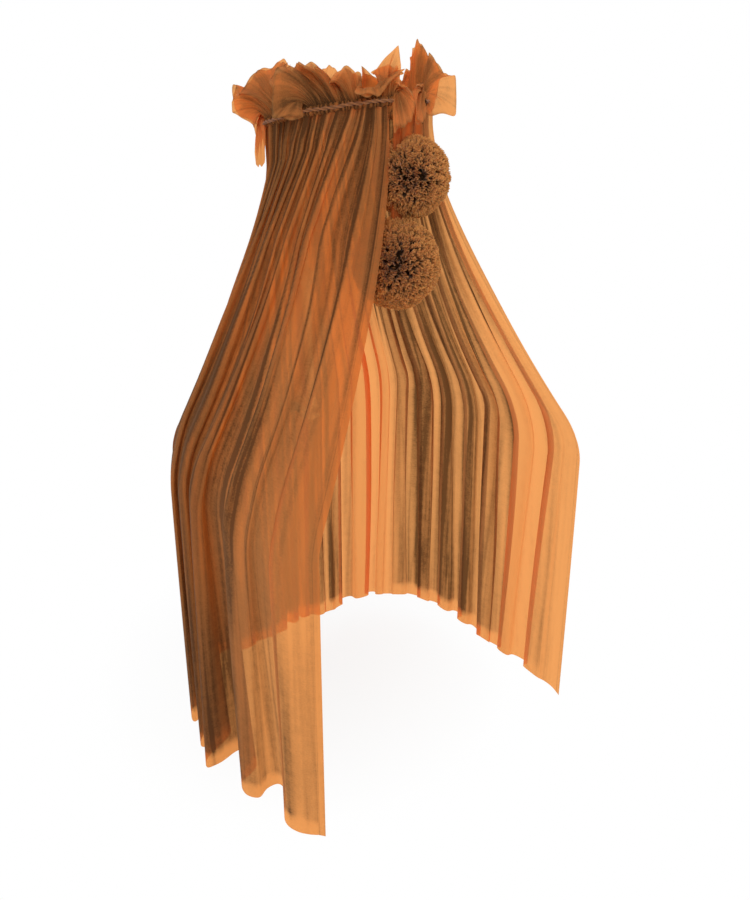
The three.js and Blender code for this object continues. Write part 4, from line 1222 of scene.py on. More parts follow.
@dataclass(frozen=True)
class Pompom:
    """A ball of gathered tulle frills."""

    name: str
    node: str
    radius: float
    centre: Vector
    seed: int
    spacing: float = 0.0092
    core_share: float = 0.7
    root_share: float = 0.55
    across: int = 17
    out: int = 4
    widths: tuple = (0.016, 0.025)
    curls: tuple = (0.0028, 0.0046)
    waves: tuple = (2.0, 3.4)
    lean: float = 0.004
    lengths: tuple = (0.95, 1.03)
    rim_wave: float = 0.0022

    def frills(self) -> int:
        """How many frills cover the ball."""
        return int(4 * math.pi * (self.radius / self.spacing) ** 2)

    def build(self, wardrobe: Wardrobe) -> bpy.types.Object:
        """Makes the ball: a rough core in painted shade under frilled strips that stand out all round.

        Args:
            wardrobe: the finishes.

        Returns:
            The whole ball.
        """
        mesh = bmesh.new()
        bmesh.ops.create_icosphere(mesh, subdivisions=4, radius=self.radius * self.core_share)
        core = mesh_piece(f"{self.name}_core", mesh)
        # The core is painted in the full shade of the inside of the ball.
        give_values(core, "painted_shading", np.ones(len(core.data.vertices)))
        core.data.transform(Matrix.Translation(self.centre))
        ball = joined(self.name, [self.frill_sheet(), core])
        return wardrobe.dress(ball, Finish.POMPOM, "pompoms", self.node)

    def frill_sheet(self) -> bpy.types.Object:
        """Makes every frill in one mesh: a strip that fans out from its root into a curled edge.

        Returns:
            The mesh of frills.
        """
        rng = np.random.default_rng(self.seed)
        mesh = bmesh.new()
        count = self.frills()
        for _ in range(count):
            bmesh.ops.create_grid(mesh, x_segments=self.across, y_segments=self.out, size=0.5)
        piece = mesh_piece(self.name, mesh)
        flat = np.empty(len(piece.data.vertices) * 3, np.float32)
        piece.data.vertices.foreach_get("co", flat)
        flat = flat.reshape(count, -1, 3).astype(float) + 0.5
        along, out = flat[..., 0], flat[..., 1]
        index = np.arange(count) + 0.5
        tilt = np.arccos(1 - 2 * index / count) + rng.normal(0, 0.035, count)
        turn = math.pi * (1 + math.sqrt(5)) * index + rng.normal(0, 0.04, count)
        normal = np.stack([np.sin(tilt) * np.cos(turn), np.sin(tilt) * np.sin(turn), np.cos(tilt)], 1)
        upright = np.abs(normal[:, 2:]) >= 0.8
        side = np.cross(normal, np.where(upright, np.array([[1.0, 0, 0]]), np.array([[0.0, 0, 1]])))
        side /= np.linalg.norm(side, axis=1)[:, None]
        spin = rng.uniform(0, FULL_TURN, count)[:, None]
        first = np.cos(spin) * side + np.sin(spin) * np.cross(normal, side)
        second = np.cross(normal, first)
        width = rng.uniform(*self.widths, count)[:, None]
        curl = rng.uniform(*self.curls, count)[:, None]
        waves = rng.uniform(*self.waves, count)[:, None]
        phase = rng.uniform(0, FULL_TURN, count)[:, None]
        lean = rng.normal(0, self.lean, (count, 2))
        length = self.radius * rng.uniform(*self.lengths, count)[:, None]
        spread = 0.2 + 0.8 * out**1.5
        x = (along - 0.5) * width * spread + lean[:, :1] * out
        y = curl * spread * np.sin(FULL_TURN * waves * along + phase) + lean[:, 1:] * out
        rim = self.rim_wave * np.sin(FULL_TURN * waves * 2 * along + 2 * phase) * out
        root = self.radius * self.root_share
        reach = root + (length - root) * out + rim
        reach = reach - 0.5 * (x**2 + y**2) / self.radius
        points = normal[:, None] * reach[..., None]
        points += first[:, None] * x[..., None] + second[:, None] * y[..., None]
        points += np.array(self.centre)
        piece.data.vertices.foreach_set("co", points.reshape(-1, 3).astype(np.float32).ravel())
        shade = rng.normal(0, 0.08, count)[:, None]
        # Painted shade and highlight: dark at the frills' roots, light at their curled edges, and darker and
        # lighter along each curl.
        tone = 1.15 - 1.2 * out**3.5 + shade + 0.12 * np.cos(FULL_TURN * waves * along + phase)
        give_values(piece, "painted_shading", tone.ravel())
        piece.data.update()
        return piece


@dataclass
class Pompoms:
    """Two pompoms and the tulle straps that loop over the hoop."""

    crown: CrownPlan
    upper_radius: float = 0.078
    lower_radius: float = 0.091
    upper_drop: float = 0.138
    lower_drop: float = 0.303
    standoff: float = 0.0216
    upper_width: float = 0.018
    upper_spread: float = 0.078
    lower_width: float = 0.009
    lower_pinch: float = 0.7
    lower_spacing: float = 0.007
    crease_count: float = 2.2
    crease_depth: float = 0.0022
    sway: float = 0.002
    upper_reach: float = 0.1
    lower_short_of_ball: float = 0.07
    loop_radius: float = 0.0074

    def bearing(self, side: int) -> float:
        """The bearing of a pompom's strap, one to each side of the arm."""
        return self.crown.arm_bearing + side * self.standoff / self.crown.radius

    def hung(self, side: int, drop: float) -> Vector:
        """A place under the hoop, at a pompom's strap."""
        return Vector(self.crown.wire_middle(self.bearing(side))) - Vector((0, 0, drop))

    def strap(
        self, name: str, bearing: float, widths: tuple[float, float], drop: float, seed: float
    ) -> bpy.types.Object:
        """Makes a strap: up the outside, over the hoop and down the inside.

        Args:
            name: the piece's name.
            bearing: where it hangs on the hoop.
            widths: its width on the hoop and at its foot.
            drop: how far it reaches down.
            seed: varies its creases.

        Returns:
            The strap's sheet.
        """
        held = self.crown.wire_middle(bearing)
        outward = np.array((math.cos(bearing), math.sin(bearing), 0.0))
        side = np.array((-math.sin(bearing), math.cos(bearing), 0.0))
        arc = math.pi * self.loop_radius
        length = 2 * drop + arc

        def laid(across: np.ndarray, along: np.ndarray) -> np.ndarray:
            """Carries the strip along its loop."""
            run = along * length
            angle = np.clip((run - drop) / self.loop_radius, 0, math.pi)
            below = np.maximum(drop - run, 0) + np.maximum(run - drop - arc, 0)
            share = below / drop
            closed = 1 - 0.75 * smoothstep(share, 0.02, 0.25)
            reach = self.loop_radius * np.cos(angle) * closed
            rise = self.loop_radius * np.sin(angle) - below
            width = widths[0] + (widths[1] - widths[0]) * smoothstep(share, 0.0, 0.6)
            fold = self.crease_depth * np.sin(FULL_TURN * self.crease_count * across + seed + 2 * share)
            fold = fold * (0.3 + 0.5 * smoothstep(share, 0, 0.2))
            sway = self.sway * np.sin(5 * share + seed)
            aside = (across - 0.5) * width + sway
            place = held + outward * (reach + fold)[:, None] + side * aside[:, None]
            place[:, 2] += rise
            return place

        def shade(across: np.ndarray, along: np.ndarray) -> np.ndarray:
            """Light single cloth with painted shade along its creases and finer light and dark bands across
            it.
            """
            creases = 0.2 * np.sin(FULL_TURN * self.crease_count * across + seed)
            return 0.3 + creases + 0.15 * np.cos(FULL_TURN * 6 * across)

        piece = ClothGrid(name, 14, 90, (widths[0] * 2, length), laid, shade).build()
        return piece

    def build(self, wardrobe: Wardrobe) -> list[bpy.types.Object]:
        """Makes both pompoms and their straps.

        Args:
            wardrobe: the finishes.

        Returns:
            The two balls and the four straps.
        """
        pieces = []
        balls = (
            ("upper", self.upper_radius, self.hung(1, self.upper_drop), 7),
            ("lower", self.lower_radius, self.hung(-1, self.lower_drop), 11),
        )
        for which, radius, centre, seed in balls:
            ball = Pompom(f"frilled_pompom_{which}", f"pompom_{which}", radius, centre, seed)
            pieces.append(ball.build(wardrobe))
        widths = (self.upper_width, self.upper_spread)
        strap = self.strap("strap_upper", self.bearing(1), widths, self.upper_reach, 0.4)
        pieces.append(wardrobe.dress(strap, Finish.STRAP, "pompoms", "upper_pompom_strap"))
        widths = (self.lower_width * self.lower_pinch, self.lower_width)
        drop = self.lower_drop - self.lower_short_of_ball
        for number in (1, 2, 3):
            bearing = self.bearing(-1) + (number - 2) * self.lower_spacing / self.crown.radius
            strap = self.strap(f"strap_lower_{number}", bearing, widths, drop, 1.3 * number)
            pieces.append(wardrobe.dress(strap, Finish.STRAP, "pompoms", f"lower_pompom_strap_{number}"))
        return pieces


# Stand


@dataclass(frozen=True)
class Run:
    """A path that a part is made round: places along it, each with two sides across it."""

    at: Callable[[np.ndarray], tuple[np.ndarray, np.ndarray, np.ndarray]]

    @staticmethod
    def straight(foot: Sequence[float], along: Sequence[float], side: Sequence[float]) -> "Run":
        """A straight path.

        Args:
            foot: where it starts.
            along: its direction.
            side: a direction across it.

        Returns:
            The path.
        """
        start, heading, first = (np.array(value, float) for value in (foot, along, side))
        second = np.cross(heading, first)

        def at(run: np.ndarray) -> tuple[np.ndarray, np.ndarray, np.ndarray]:
            """Places on the line and its two constant sides."""
            places = start + heading * run[:, None]
            return places, np.broadcast_to(first, places.shape), np.broadcast_to(second, places.shape)

        return Run(at)


@dataclass(frozen=True)
class Turned:
    """A part with a round section whose radius is given along its path.

    A profile that starts and ends at radius 0 makes a solid part, and one that ends where it starts
    makes a hollow part.
    """

    name: str
    run: Run
    profile: tuple
    round_steps: int = 40
    step: float = 0.004
    relief: Optional[Callable[[np.ndarray, np.ndarray, np.ndarray], np.ndarray]] = None

    def stations(self) -> np.ndarray:
        """The profile with its long stretches divided into steps, as rows of place and radius."""
        rows = [self.profile[0]]
        for first, second in zip(self.profile, self.profile[1:]):
            count = max(1, math.ceil(abs(second[0] - first[0]) / self.step))
            for part in range(1, count + 1):
                share = part / count
                rows.append(tuple(a + (b - a) * share for a, b in zip(first, second)))
        return np.array(rows, float)

    def build(self) -> bpy.types.Object:
        """Wraps a grid round the path and welds its seams.

        Returns:
            The part, with its sharp edges kept.
        """
        rows = self.stations()
        mesh = bmesh.new()
        bmesh.ops.create_grid(mesh, x_segments=self.round_steps, y_segments=len(rows) - 1, size=0.5)
        flat = np.array([vertex.co for vertex in mesh.verts]) + 0.5
        turn = FULL_TURN * flat[:, 0]
        place = np.rint(flat[:, 1] * (len(rows) - 1)).astype(int)
        along, radius = rows[place, 0], rows[place, 1]
        if self.relief:
            radius = radius + self.relief(along, radius, turn)
        centre, first, second = self.run.at(along)
        points = centre + (first * np.cos(turn)[:, None] + second * np.sin(turn)[:, None]) * radius[:, None]
        for vertex, point in zip(mesh.verts, points):
            vertex.co = point
        bmesh.ops.remove_doubles(mesh, verts=mesh.verts, dist=1e-6)
        bmesh.ops.recalc_face_normals(mesh, faces=mesh.faces)
        return crisp(mesh_piece(self.name, mesh))


def crisp(piece: bpy.types.Object) -> bpy.types.Object:
    """Keeps the shading of a piece's sharp edges apart.

    Args:
        piece: the piece.

    Returns:
        The piece.
    """
    mesh = bmesh.new()
    mesh.from_mesh(piece.data)
    for edge in mesh.edges:
        edge.smooth = len(edge.link_faces) != 2 or edge.calc_face_angle() < SHARP_ANGLE
    mesh.to_mesh(piece.data)
    mesh.free()
    return piece


def plate(
    name: str, outline: Sequence[Sequence[float]], across: Sequence[float], bevel: float
) -> bpy.types.Object:
    """Makes a plate of an even thickness with eased edges.

    Args:
        name: the piece's name.
        outline: the corners of one face, in metres.
        across: from that face to the other.
        bevel: the width of the eased edges.

    Returns:
        The plate.
    """
    mesh = bmesh.new()
    face = mesh.faces.new([mesh.verts.new(corner) for corner in outline])
    grown = bmesh.ops.extrude_face_region(mesh, geom=[face], use_keep_orig=True)["geom"]
    moved = [item for item in grown if isinstance(item, bmesh.types.BMVert)]
    bmesh.ops.translate(mesh, vec=across, verts=moved)
    bmesh.ops.recalc_face_normals(mesh, faces=mesh.faces)
    sharp = [edge for edge in mesh.edges if edge.calc_face_angle() > SHARP_ANGLE]
    bmesh.ops.bevel(
        mesh, geom=sharp, offset=bevel, offset_type="OFFSET", segments=2, profile=0.5, affect="EDGES",
        material=-1, clamp_overlap=True,
    )
    return crisp(mesh_piece(name, mesh))


def combined(piece: bpy.types.Object, other: bpy.types.Object, operation: str) -> bpy.types.Object:
    """Joins another solid to a piece or takes it away.

    Args:
        piece: the piece.
        other: the other solid, which is used up.
        operation: UNION or DIFFERENCE.

    Returns:
        The piece.
    """
    step = piece.modifiers.new(operation.lower(), "BOOLEAN")
    step.operation, step.solver, step.object = operation, "EXACT", other
    whole = bpy.data.meshes.new_from_object(piece.evaluated_get(bpy.context.evaluated_depsgraph_get()))
    piece.modifiers.clear()
    old, piece.data = piece.data, whole
    whole.name = piece.name
    bpy.data.meshes.remove(old)
    bpy.data.objects.remove(other, do_unlink=True)
    return crisp(piece)


def drilled(
    piece: bpy.types.Object, run: Run, ends: tuple[float, float], radius: float, round_steps: int
) -> bpy.types.Object:
    """Drills a round hole through a piece.

    Args:
        piece: the piece.
        run: the path of the hole.
        ends: where the hole starts and ends along it.
        radius: the hole's radius.
        round_steps: how many corners stand for its circle.

    Returns:
        The piece.
    """
    low, high = ends
    profile = ((low, 0), (low, radius), (high, radius), (high, 0))
    return combined(piece, Turned("hole", run, profile, round_steps).build(), "DIFFERENCE")


def rounded_bar(reach: float, end: float, middle: float, steps: int = 14) -> list[tuple[float, float]]:
    """The outline of a bar with round ends that is wider in its middle, as a wing knob's lever is.

    Args:
        reach: how far its ends' centres are from its middle.
        end: the radius of its ends.
        middle: half of its width in the middle.
        steps: how many corners stand for each end.

    Returns:
        The outline's corners in turn.
    """
    bend = [(math.cos(turn), math.sin(turn)) for turn in np.linspace(-math.pi / 2, math.pi / 2, steps)]
    right = [(reach + end * out, end * up) for out, up in bend]
    left = [(-reach - end * out, -end * up) for out, up in bend]
    return right + [(0, middle)] + left + [(0, -middle)]


@dataclass(frozen=True)
class Stand:
    """The clamp, the telescopic pole, its height lock and the hoop on its arm."""

    crown: CrownPlan
    screw_axis: Run = Run.straight((0, 0, 0), (0, 1, 0), (1, 0, 0))
    pole_y: float = -0.082428
    plate_foot: float = 0.026
    plate_top: float = 0.030
    socket_top: float = 0.052
    socket_radii: tuple = (0.015, 0.0135)
    socket_bore: float = 0.0108
    bracket_width: float = 0.032
    jaw: tuple = (0.0023, 0.0063)
    jaw_foot: float = -0.013
    jaw_round: float = 0.004
    cushion: tuple = (0.014, 0.002, 0.013)
    leg: tuple = (-0.060, -0.049)
    leg_foot: float = -0.012
    threaded_hole: float = 0.0043
    pad_ends: tuple = (-0.025, -0.0275, -0.030)
    pad_radii: tuple = (0.012, 0.008, 0.0043)
    knob_ends: tuple = (-0.0938, -0.0888, -0.0798)
    knob_radius: float = 0.009
    wing_reach: float = 0.017
    wing_radii: tuple = (0.005, 0.0078)
    wing_place: tuple = (-0.0898, 0.006)
    wing_hole_end: float = -0.07
    screw_ends: tuple = (-0.0898, -0.0278)
    screw_radius: float = 0.004
    pitch: float = 0.00125
    thread_depth: float = 0.0005
    lower_ends: tuple = (0.0303, 0.3603)
    lower_radii: tuple = (0.0085, 0.0105)
    upper_foot: float = 0.1204
    upper_radii: tuple = (0.0068, 0.008)
    bend_radius: float = 0.055
    arm_reach: float = 0.149
    collar_ends: tuple = (0.3433, 0.3773)
    collar_radius: float = 0.016
    collar_bores: tuple = (0.0083, 0.0107)
    boss_ends: tuple = (0.0125, 0.024)
    boss_radius: float = 0.008
    lock_height: float = 0.3688
    lock_reach: tuple = (0.0083, 0.026, 0.035)
    lock_radius: float = 0.011
    lock_shaft: float = 0.003
    lock_hole: float = 0.0033
    scallops: int = 10
    scallop_depth: float = 0.0016
    wire_radius: float = 0.004
    wire_gap: float = 0.002
    sleeve_half: float = 0.010
    sleeve_radii: tuple = (0.0048, 0.0085)
    grub_offset: float = 0.006
    grub_run: tuple = (0.0043, 0.0103)
    grub_radius: float = 0.002
    grub_socket: float = 0.001
    seat_gap: float = 0.0003
    overrun: float = 0.002
    ease: float = 0.0006
    soft_ease: float = 0.0012

    def pole(self, foot: float) -> Run:
        """The pole's axis from a height."""
        return Run.straight((0, self.pole_y, foot), (0, 0, 1), (1, 0, 0))

    def level(self, height: float) -> Run:
        """A level axis that starts in the pole's axis, towards the opening."""
        return Run.straight((0, self.pole_y, height), (0, -1, 0), (1, 0, 0))

    def wall(self, ends: Sequence[float], radii: Sequence[float]) -> tuple:
        """The profile of a hollow tube with eased rims.

        Args:
            ends: where it starts and ends along its path.
            radii: its inner and outer radius.

        Returns:
            Rows of place and radius.
        """
        low, high = ends
        inner, outer = radii
        ease = self.ease
        return (
            (low, inner), (low, outer - ease), (low + ease, outer), (high - ease, outer),
            (high, outer - ease), (high, inner), (low, inner),
        )

    def rod(self, ends: Sequence[float], radius: float) -> tuple:
        """The profile of a solid rod with eased ends.

        Args:
            ends: where it starts and ends along its path.
            radius: its radius.

        Returns:
            Rows of place and radius.
        """
        low, high = ends
        ease = self.ease
        return (
            (low, 0), (low, radius - ease), (low + ease, radius), (high - ease, radius),
            (high, radius - ease), (high, 0),
        )

    def bracket(self) -> bpy.types.Object:
        """The steel hook with its jaw, its leg with the threaded hole and the pole's socket.

        Returns:
            The bracket.
        """
        half = self.bracket_width / 2
        inner, outer = self.jaw
        far, near = self.leg
        end = self.pole_y - self.socket_radii[0]
        bend = self.jaw_round
        corner = [
            (outer - bend * (1 - math.cos(turn)), self.plate_top - bend * (1 - math.sin(turn)))
            for turn in np.linspace(0, math.pi / 2, 6)
        ]
        profile = [
            (inner, self.jaw_foot), (outer, self.jaw_foot), *corner, (end, self.plate_top),
            (end, self.plate_foot), (far, self.plate_foot), (far, self.leg_foot), (near, self.leg_foot),
            (near, self.plate_foot), (inner, self.plate_foot),
        ]
        outline = [(-half, back, up) for back, up in profile]
        body = plate("bed_clamp", outline, (self.bracket_width, 0, 0), self.ease)
        low, high = self.plate_foot + 0.001, self.socket_top
        wide, narrow = self.socket_radii
        floor = self.plate_top + 0.0002
        bore = self.socket_bore
        ring = (
            (low, 0), (low, wide), (high - self.ease, narrow), (high, narrow - self.ease), (high, bore),
            (floor, bore), (floor, 0),
        )
        combined(body, Turned("socket", self.pole(0), ring, 48).build(), "UNION")
        reach = (-near - self.overrun + self.pole_y, -far + self.overrun + self.pole_y)
        return drilled(body, self.level(0), reach, self.threaded_hole, 32)

    def jaw_cushion(self) -> bpy.types.Object:
        """The rubber pad inside the fixed jaw."""
        half, thick, up = self.cushion
        outline = [(-half, 0, -up), (half, 0, -up), (half, 0, up), (-half, 0, up)]
        return plate("jaw_cushion", outline, (0, thick, 0), 0.0005)

    def pressing_pad(self) -> bpy.types.Object:
        """The round foot that turns freely on the screw's end.

        Returns:
            The pad.
        """
        face, rim, back = self.pad_ends
        radius, neck, bore = self.pad_radii
        ease, fillet = self.ease, 0.0005
        profile = (
            (face, 0), (face, radius - ease), (face - ease, radius), (rim + fillet, radius),
            (rim, radius - fillet), (rim, neck + fillet), (back + fillet, neck), (back, neck - ease),
            (back, bore), (rim, bore), (rim, 0),
        )
        return Turned("pressing_pad", self.screw_axis, profile, 48).build()

    def spindle(self) -> bpy.types.Object:
        """The threaded screw.

        Returns:
            The screw.
        """

        def thread(along: np.ndarray, radius: np.ndarray, turn: np.ndarray) -> np.ndarray:
            """Cuts a helical groove, which runs out at the ends."""
            groove = 0.5 - 0.5 * np.cos(FULL_TURN * along / self.pitch - turn)
            return np.where(radius > self.screw_radius * 0.99, -self.thread_depth * groove, 0)

        profile = self.rod(self.screw_ends, self.screw_radius)
        return Turned("threaded_spindle", self.screw_axis, profile, 20, self.pitch / 6, thread).build()

    def knob(self) -> bpy.types.Object:
        """The knob on the screw's outer end, with its two wings.

        Returns:
            The knob.
        """
        low, floor, high = self.knob_ends
        radius, bore, ease = self.knob_radius, self.screw_radius, self.soft_ease
        profile = (
            (low, 0), (low, radius - ease), (low + ease, radius), (high - ease, radius),
            (high, radius - ease), (high, bore), (floor, bore), (floor, 0),
        )
        hub = Turned("wing_knob", self.screw_axis, profile, 48).build()
        back, thick = self.wing_place
        bar = rounded_bar(self.wing_reach, *self.wing_radii)
        wings = plate("wings", [(x, back, z) for x, z in bar], (0, thick, 0), 0.001)
        wings = drilled(wings, self.screw_axis, (floor, self.wing_hole_end), bore, 32)
        return combined(hub, wings, "UNION")

    def lower_tube(self) -> bpy.types.Object:
        """The lower tube of the pole."""
        return Turned("lower_pole", self.pole(0), self.wall(self.lower_ends, self.lower_radii)).build()

    def arm_end(self) -> Vector:
        """The hoop wire's middle at the arm's end."""
        return Vector(self.crown.wire_middle(self.crown.arm_bearing))

    def upper_tube(self) -> bpy.types.Object:
        """The upper tube: up the pole, round a bend and out over the crown.

        Returns:
            The tube.
        """
        heading = np.array((math.cos(self.crown.arm_bearing), math.sin(self.crown.arm_bearing), 0))
        side = np.array((-heading[1], heading[0], 0))
        lift = np.array((0, 0, 1.0))
        foot = np.array((0, self.pole_y, self.upper_foot))
        rise = self.arm_end().z - self.bend_radius - self.upper_foot
        bend = self.bend_radius * math.pi / 2
        level = self.crown.radius - self.crown.pole_inset + self.arm_reach - self.bend_radius

        def at(run: np.ndarray) -> tuple[np.ndarray, np.ndarray, np.ndarray]:
            """Places along the bent tube, with its level side and the side inside the bend."""
            turn = np.clip((run - rise) / self.bend_radius, 0, math.pi / 2)[:, None]
            straight = np.minimum(run, rise)[:, None]
            beyond = np.maximum(run - rise - bend, 0)[:, None]
            places = foot + lift * (straight + self.bend_radius * np.sin(turn))
            places = places + heading * (self.bend_radius * (1 - np.cos(turn)) + beyond)
            inward = heading * np.cos(turn) - lift * np.sin(turn)
            return places, np.broadcast_to(side, places.shape), inward

        ends = (0.0, rise + bend + level)
        return Turned("arm_tube", Run(at), self.wall(ends, self.upper_radii)).build()

    def foot_plug(self) -> bpy.types.Object:
        """The plastic plug under the upper tube, which slides in the lower tube.

        Returns:
            The plug.
        """
        top = self.upper_foot - self.seat_gap
        foot, end = top - 0.003, top + 0.011
        flange, shank, ease = 0.0082, 0.0065, self.ease
        profile = (
            (foot, 0), (foot, flange - ease), (foot + ease, flange), (top, flange), (top, shank),
            (end - 0.0005, shank), (end, shank - 0.0005), (end, 0),
        )
        return Turned("foot_plug", self.pole(0), profile).build()

    def collar(self) -> bpy.types.Object:
        """The collar on the lower tube's top, with the lock screw's boss.

        Returns:
            The collar.
        """
        low, high = self.collar_ends
        outer, (mouth, bore) = self.collar_radius, self.collar_bores
        seat, ease = self.lower_ends[1] + self.seat_gap, 0.0014
        profile = (
            (low, bore), (low, outer - ease), (low + ease, outer), (high - ease, outer),
            (high, outer - ease), (high, mouth), (seat, mouth), (seat, bore), (low, bore),
        )
        ring = Turned("lock_collar", self.pole(0), profile, 48).build()
        axis = self.level(self.lock_height)
        combined(ring, Turned("boss", axis, self.rod(self.boss_ends, self.boss_radius), 32).build(), "UNION")
        return drilled(ring, axis, (0.006, 0.03), self.lock_hole, 24)

    def lock_screw(self) -> bpy.types.Object:
        """The thumb screw that holds the height.

        Returns:
            The screw.
        """
        tip, head, end = self.lock_reach
        shaft, radius, ease = self.lock_shaft, self.lock_radius, self.soft_ease

        def grip(along: np.ndarray, size: np.ndarray, turn: np.ndarray) -> np.ndarray:
            """Scallops round the head."""
            hollow = (0.5 + 0.5 * np.cos(self.scallops * turn)) ** 2
            return np.where(size > radius * 0.8, -self.scallop_depth * hollow, 0)

        profile = (
            (tip, 0), (tip, shaft - self.ease), (tip + self.ease, shaft), (head, shaft),
            (head, radius - ease), (head + ease, radius), (end - ease, radius), (end, radius - ease),
            (end, 0.005), (end - 0.001, 0.004), (end - 0.001, 0),
        )
        return Turned("scalloped_lock_screw", self.level(self.lock_height), profile, 80, 0.003, grip).build()

    def hoop(self) -> bpy.types.Object:
        """The wire hoop, which is open where its ends meet in the saddle.

        Returns:
            The hoop.
        """
        radius = self.crown.radius
        start = self.crown.arm_bearing + self.wire_gap / 2 / radius

        def at(run: np.ndarray) -> tuple[np.ndarray, np.ndarray, np.ndarray]:
            """Places round the hoop, with its outward and upward sides."""
            angle = start + run / radius
            places = self.crown.at(angle, radius, 0.0)
            outward = self.crown.outward(angle)
            return places, outward, np.broadcast_to(np.array(self.crown.axes[2]), places.shape)

        length = FULL_TURN * radius - self.wire_gap
        return Turned("wire_hoop", Run(at), self.rod((0.0, length), self.wire_radius), 24, 0.006).build()

    def saddle(self) -> bpy.types.Object:
        """The plastic saddle that joins the arm to the hoop's ends.

        Returns:
            The saddle.
        """
        bearing = self.crown.arm_bearing
        outward, tangent, _ = self.saddle_axes()
        held = self.arm_end()
        inner, outer = self.sleeve_radii
        axis = Run.straight(held, tangent, outward)
        tube = self.wall((-self.sleeve_half, self.sleeve_half), (inner, outer))
        sleeve = Turned("hoop_saddle", axis, tube, 40, 0.003).build()
        heading = (math.cos(bearing), math.sin(bearing), 0)
        start = self.arm_reach + self.seat_gap - self.crown.radius
        neck = Run.straight(held, heading, (-heading[1], heading[0], 0))
        stem = Turned("stem", neck, self.rod((start, -inner - 0.0008), 0.008), 40, 0.003).build()
        return combined(sleeve, stem, "UNION")

    def saddle_axes(self) -> tuple[Vector, Vector, Vector]:
        """The hoop's outward, tangent and upward directions at the arm's end."""
        outward = Vector(self.crown.outward(np.array([self.crown.arm_bearing]))[0])
        rise = self.crown.axes[2]
        return outward, rise.cross(outward), rise

    def grub(self, name: str, side: int) -> bpy.types.Object:
        """A small screw that pinches one end of the hoop in the saddle.

        Args:
            name: the piece's name.
            side: -1 for the left end of the saddle and 1 for the right one.

        Returns:
            The screw.
        """
        outward, tangent, rise = self.saddle_axes()
        axis = Run.straight(self.arm_end() + tangent * self.grub_offset * side, rise, outward)
        low, high = self.grub_run
        radius, hollow = self.grub_radius, self.grub_socket
        floor = high - 0.0012
        profile = (
            (low, 0), (low, radius - 0.0004), (low + 0.0004, radius), (high - 0.0003, radius),
            (high, radius - 0.0003), (high, hollow), (floor, hollow), (floor, 0),
        )
        return Turned(name, axis, profile, 24, 0.002).build()

    def build(self, wardrobe: Wardrobe) -> list[bpy.types.Object]:
        """Makes, dresses and places every hard part.

        Args:
            wardrobe: the finishes.

        Returns:
            The parts.
        """
        parts = (
            ("clamp_bracket", "stand", Finish.PAINT, self.bracket()),
            ("jaw_pad", "stand", Finish.RUBBER, self.jaw_cushion()),
            ("pressure_pad", "screw_pad", Finish.RUBBER, self.pressing_pad()),
            ("clamp_screw", "screw", Finish.ZINC, self.spindle()),
            ("clamp_knob", "screw", Finish.PLASTIC, self.knob()),
            ("lower_tube", "stand", Finish.PAINT, self.lower_tube()),
            ("height_collar", "stand", Finish.PLASTIC, self.collar()),
            ("thumb_screw", "height_lock", Finish.PLASTIC, self.lock_screw()),
            ("upper_tube", "crown", Finish.PAINT, self.upper_tube()),
            ("tube_plug", "crown", Finish.PLASTIC, self.foot_plug()),
            ("crown_hoop", "crown", Finish.PAINT, self.hoop()),
            ("hoop_holder", "crown", Finish.PLASTIC, self.saddle()),
            ("hoop_screw_left", "crown", Finish.ZINC, self.grub("saddle_screw_left", -1)),
            ("hoop_screw_right", "crown", Finish.ZINC, self.grub("saddle_screw_right", 1)),
        )
        return [wardrobe.dress(piece, finish, body, node) for node, body, finish, piece in parts]


# Studio


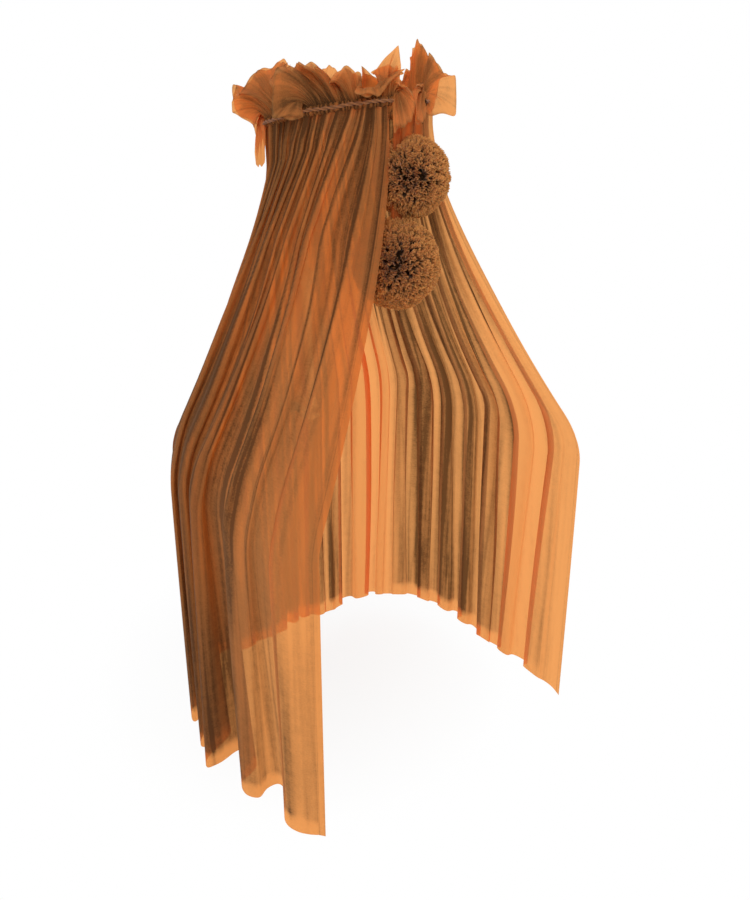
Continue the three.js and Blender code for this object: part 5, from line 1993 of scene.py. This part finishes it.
@dataclass
class Studio:
    """A pale floor, plain soft light and the camera at the photographed angle."""

    eye: Colour = (-0.88058, -1.544, 0.683)
    heading: float = 0.640
    dip: float = 0.432
    focal_length: float = 695.7
    image_height: float = 900.0
    floor_height: float = -0.824
    floor_reach: float = 14.0
    floor_colour: float = 0.94
    sky_colour: Colour = (0.98, 0.99, 1.0)
    sky_light: float = 0.62
    key_light: float = 60.0
    fill_light: float = 24.0
    back_light: float = 30.0
    lit_place: Colour = (0.0, -0.3, 0.1)

    def build(self) -> None:
        """Sets up the camera, the world, the lamps and the floor."""
        self.camera()
        self.world()
        self.lamp("key", (-2.6, -3.2, 2.9), self.key_light, 2.4)
        self.lamp("fill", (3.4, -2.4, 1.4), self.fill_light, 3.0)
        self.lamp("back", (1.4, 3.2, 2.2), self.back_light, 2.6)
        self.floor()
        bpy.context.scene.view_settings.view_transform = "Standard"

    def camera(self) -> None:
        """Stands the camera where the photograph was taken from."""
        data = bpy.data.cameras.new("camera")
        data.sensor_width = 36.0
        data.lens = self.focal_length * data.sensor_width / self.image_height
        data.clip_start, data.clip_end = 0.05, 50.0
        camera = bpy.data.objects.new("camera", data)
        camera.location = self.eye
        camera.rotation_euler = (math.pi / 2 - self.dip, 0.0, -self.heading)
        bpy.context.scene.collection.objects.link(camera)
        bpy.context.scene.camera = camera

    def world(self) -> None:
        """Lights the scene evenly, and shows white wherever the surroundings are seen or mirrored."""
        tree = ShaderTree(bpy.data.worlds.new("studio"))
        camera, mirrored, through = (
            tree.node("ShaderNodeLightPath", output=f"Is {kind} Ray")
            for kind in ("Camera", "Glossy", "Transmission")
        )
        sky = {"Color": opaque(self.sky_colour), "Strength": self.sky_light}
        light = tree.node("ShaderNodeBackground", inputs=sky)
        backdrop = tree.node("ShaderNodeBackground", inputs={"Color": opaque(WHITE), "Strength": 1.0})
        seen = camera.at_least(mirrored).at_least(through)
        both = tree.node("ShaderNodeMixShader", inputs={0: seen, 1: light, 2: backdrop})
        bpy.context.scene.world = tree.finish(both, "ShaderNodeOutputWorld")

    def lamp(self, name: str, place: Colour, power: float, size: float) -> None:
        """Adds a soft square lamp that faces the veil.

        Args:
            name: the lamp's name.
            place: where it stands.
            power: its power in watts.
            size: the length of its side.
        """
        data = bpy.data.lights.new(name, "AREA")
        data.energy = power
        data.size = size
        lamp = bpy.data.objects.new(name, data)
        lamp.location = place
        away = Vector(place) - Vector(self.lit_place)
        lamp.rotation_euler = away.to_track_quat("Z", "Y").to_euler()
        bpy.context.scene.collection.objects.link(lamp)

    def floor(self) -> None:
        """Lays a wide pale floor, nearly white and a little uneven."""
        mesh = bmesh.new()
        bmesh.ops.create_circle(mesh, cap_ends=True, segments=96, radius=self.floor_reach)
        bmesh.ops.translate(mesh, verts=mesh.verts, vec=(0, 0, self.floor_height))
        floor = mesh_piece("studio_floor", mesh)
        tree = ShaderTree(bpy.data.materials.new("studio_floor"))
        at = tree.coordinates("Object")
        mottle = tree.noise(at, 3.0)
        base = tree.ramp(mottle, [(0.0, (self.floor_colour,) * 3), (1.0, (self.floor_colour - 0.01,) * 3)])
        matt = tree.node("ShaderNodeBsdfPrincipled", inputs={"Base Color": base, "Roughness": 0.9})
        white = tree.node("ShaderNodeEmission", inputs={"Color": opaque(WHITE), "Strength": 1.0})
        spread = tree.node("ShaderNodeVectorMath", {"operation": "LENGTH"}, {0: at}, output="Value")
        away = tree.ramp(spread / self.floor_reach, [(0.025, (0.6, 0.6, 0.6)), (0.075, WHITE)])
        seen = tree.node("ShaderNodeLightPath", output="Is Camera Ray")
        lit = tree.node("ShaderNodeMixShader", inputs={0: seen * away, 1: matt, 2: white})
        floor.data.materials.append(tree.finish(lit))


def main() -> None:
    """Builds the studio and the canopy's sub-assemblies in order, and reports each piece."""
    logging.basicConfig(level=logging.INFO, format="%(name)s: %(message)s")
    Studio().build()
    wardrobe = Wardrobe()
    crown = CrownPlan()
    for assembly in (Veil, Header, Pompoms, Stand):
        for piece in assembly(crown).build(wardrobe):
            log.info("%s: %s, %d faces", assembly.__name__, piece.name, len(piece.data.polygons))
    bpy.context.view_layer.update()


if __name__ == "__main__":
    main()
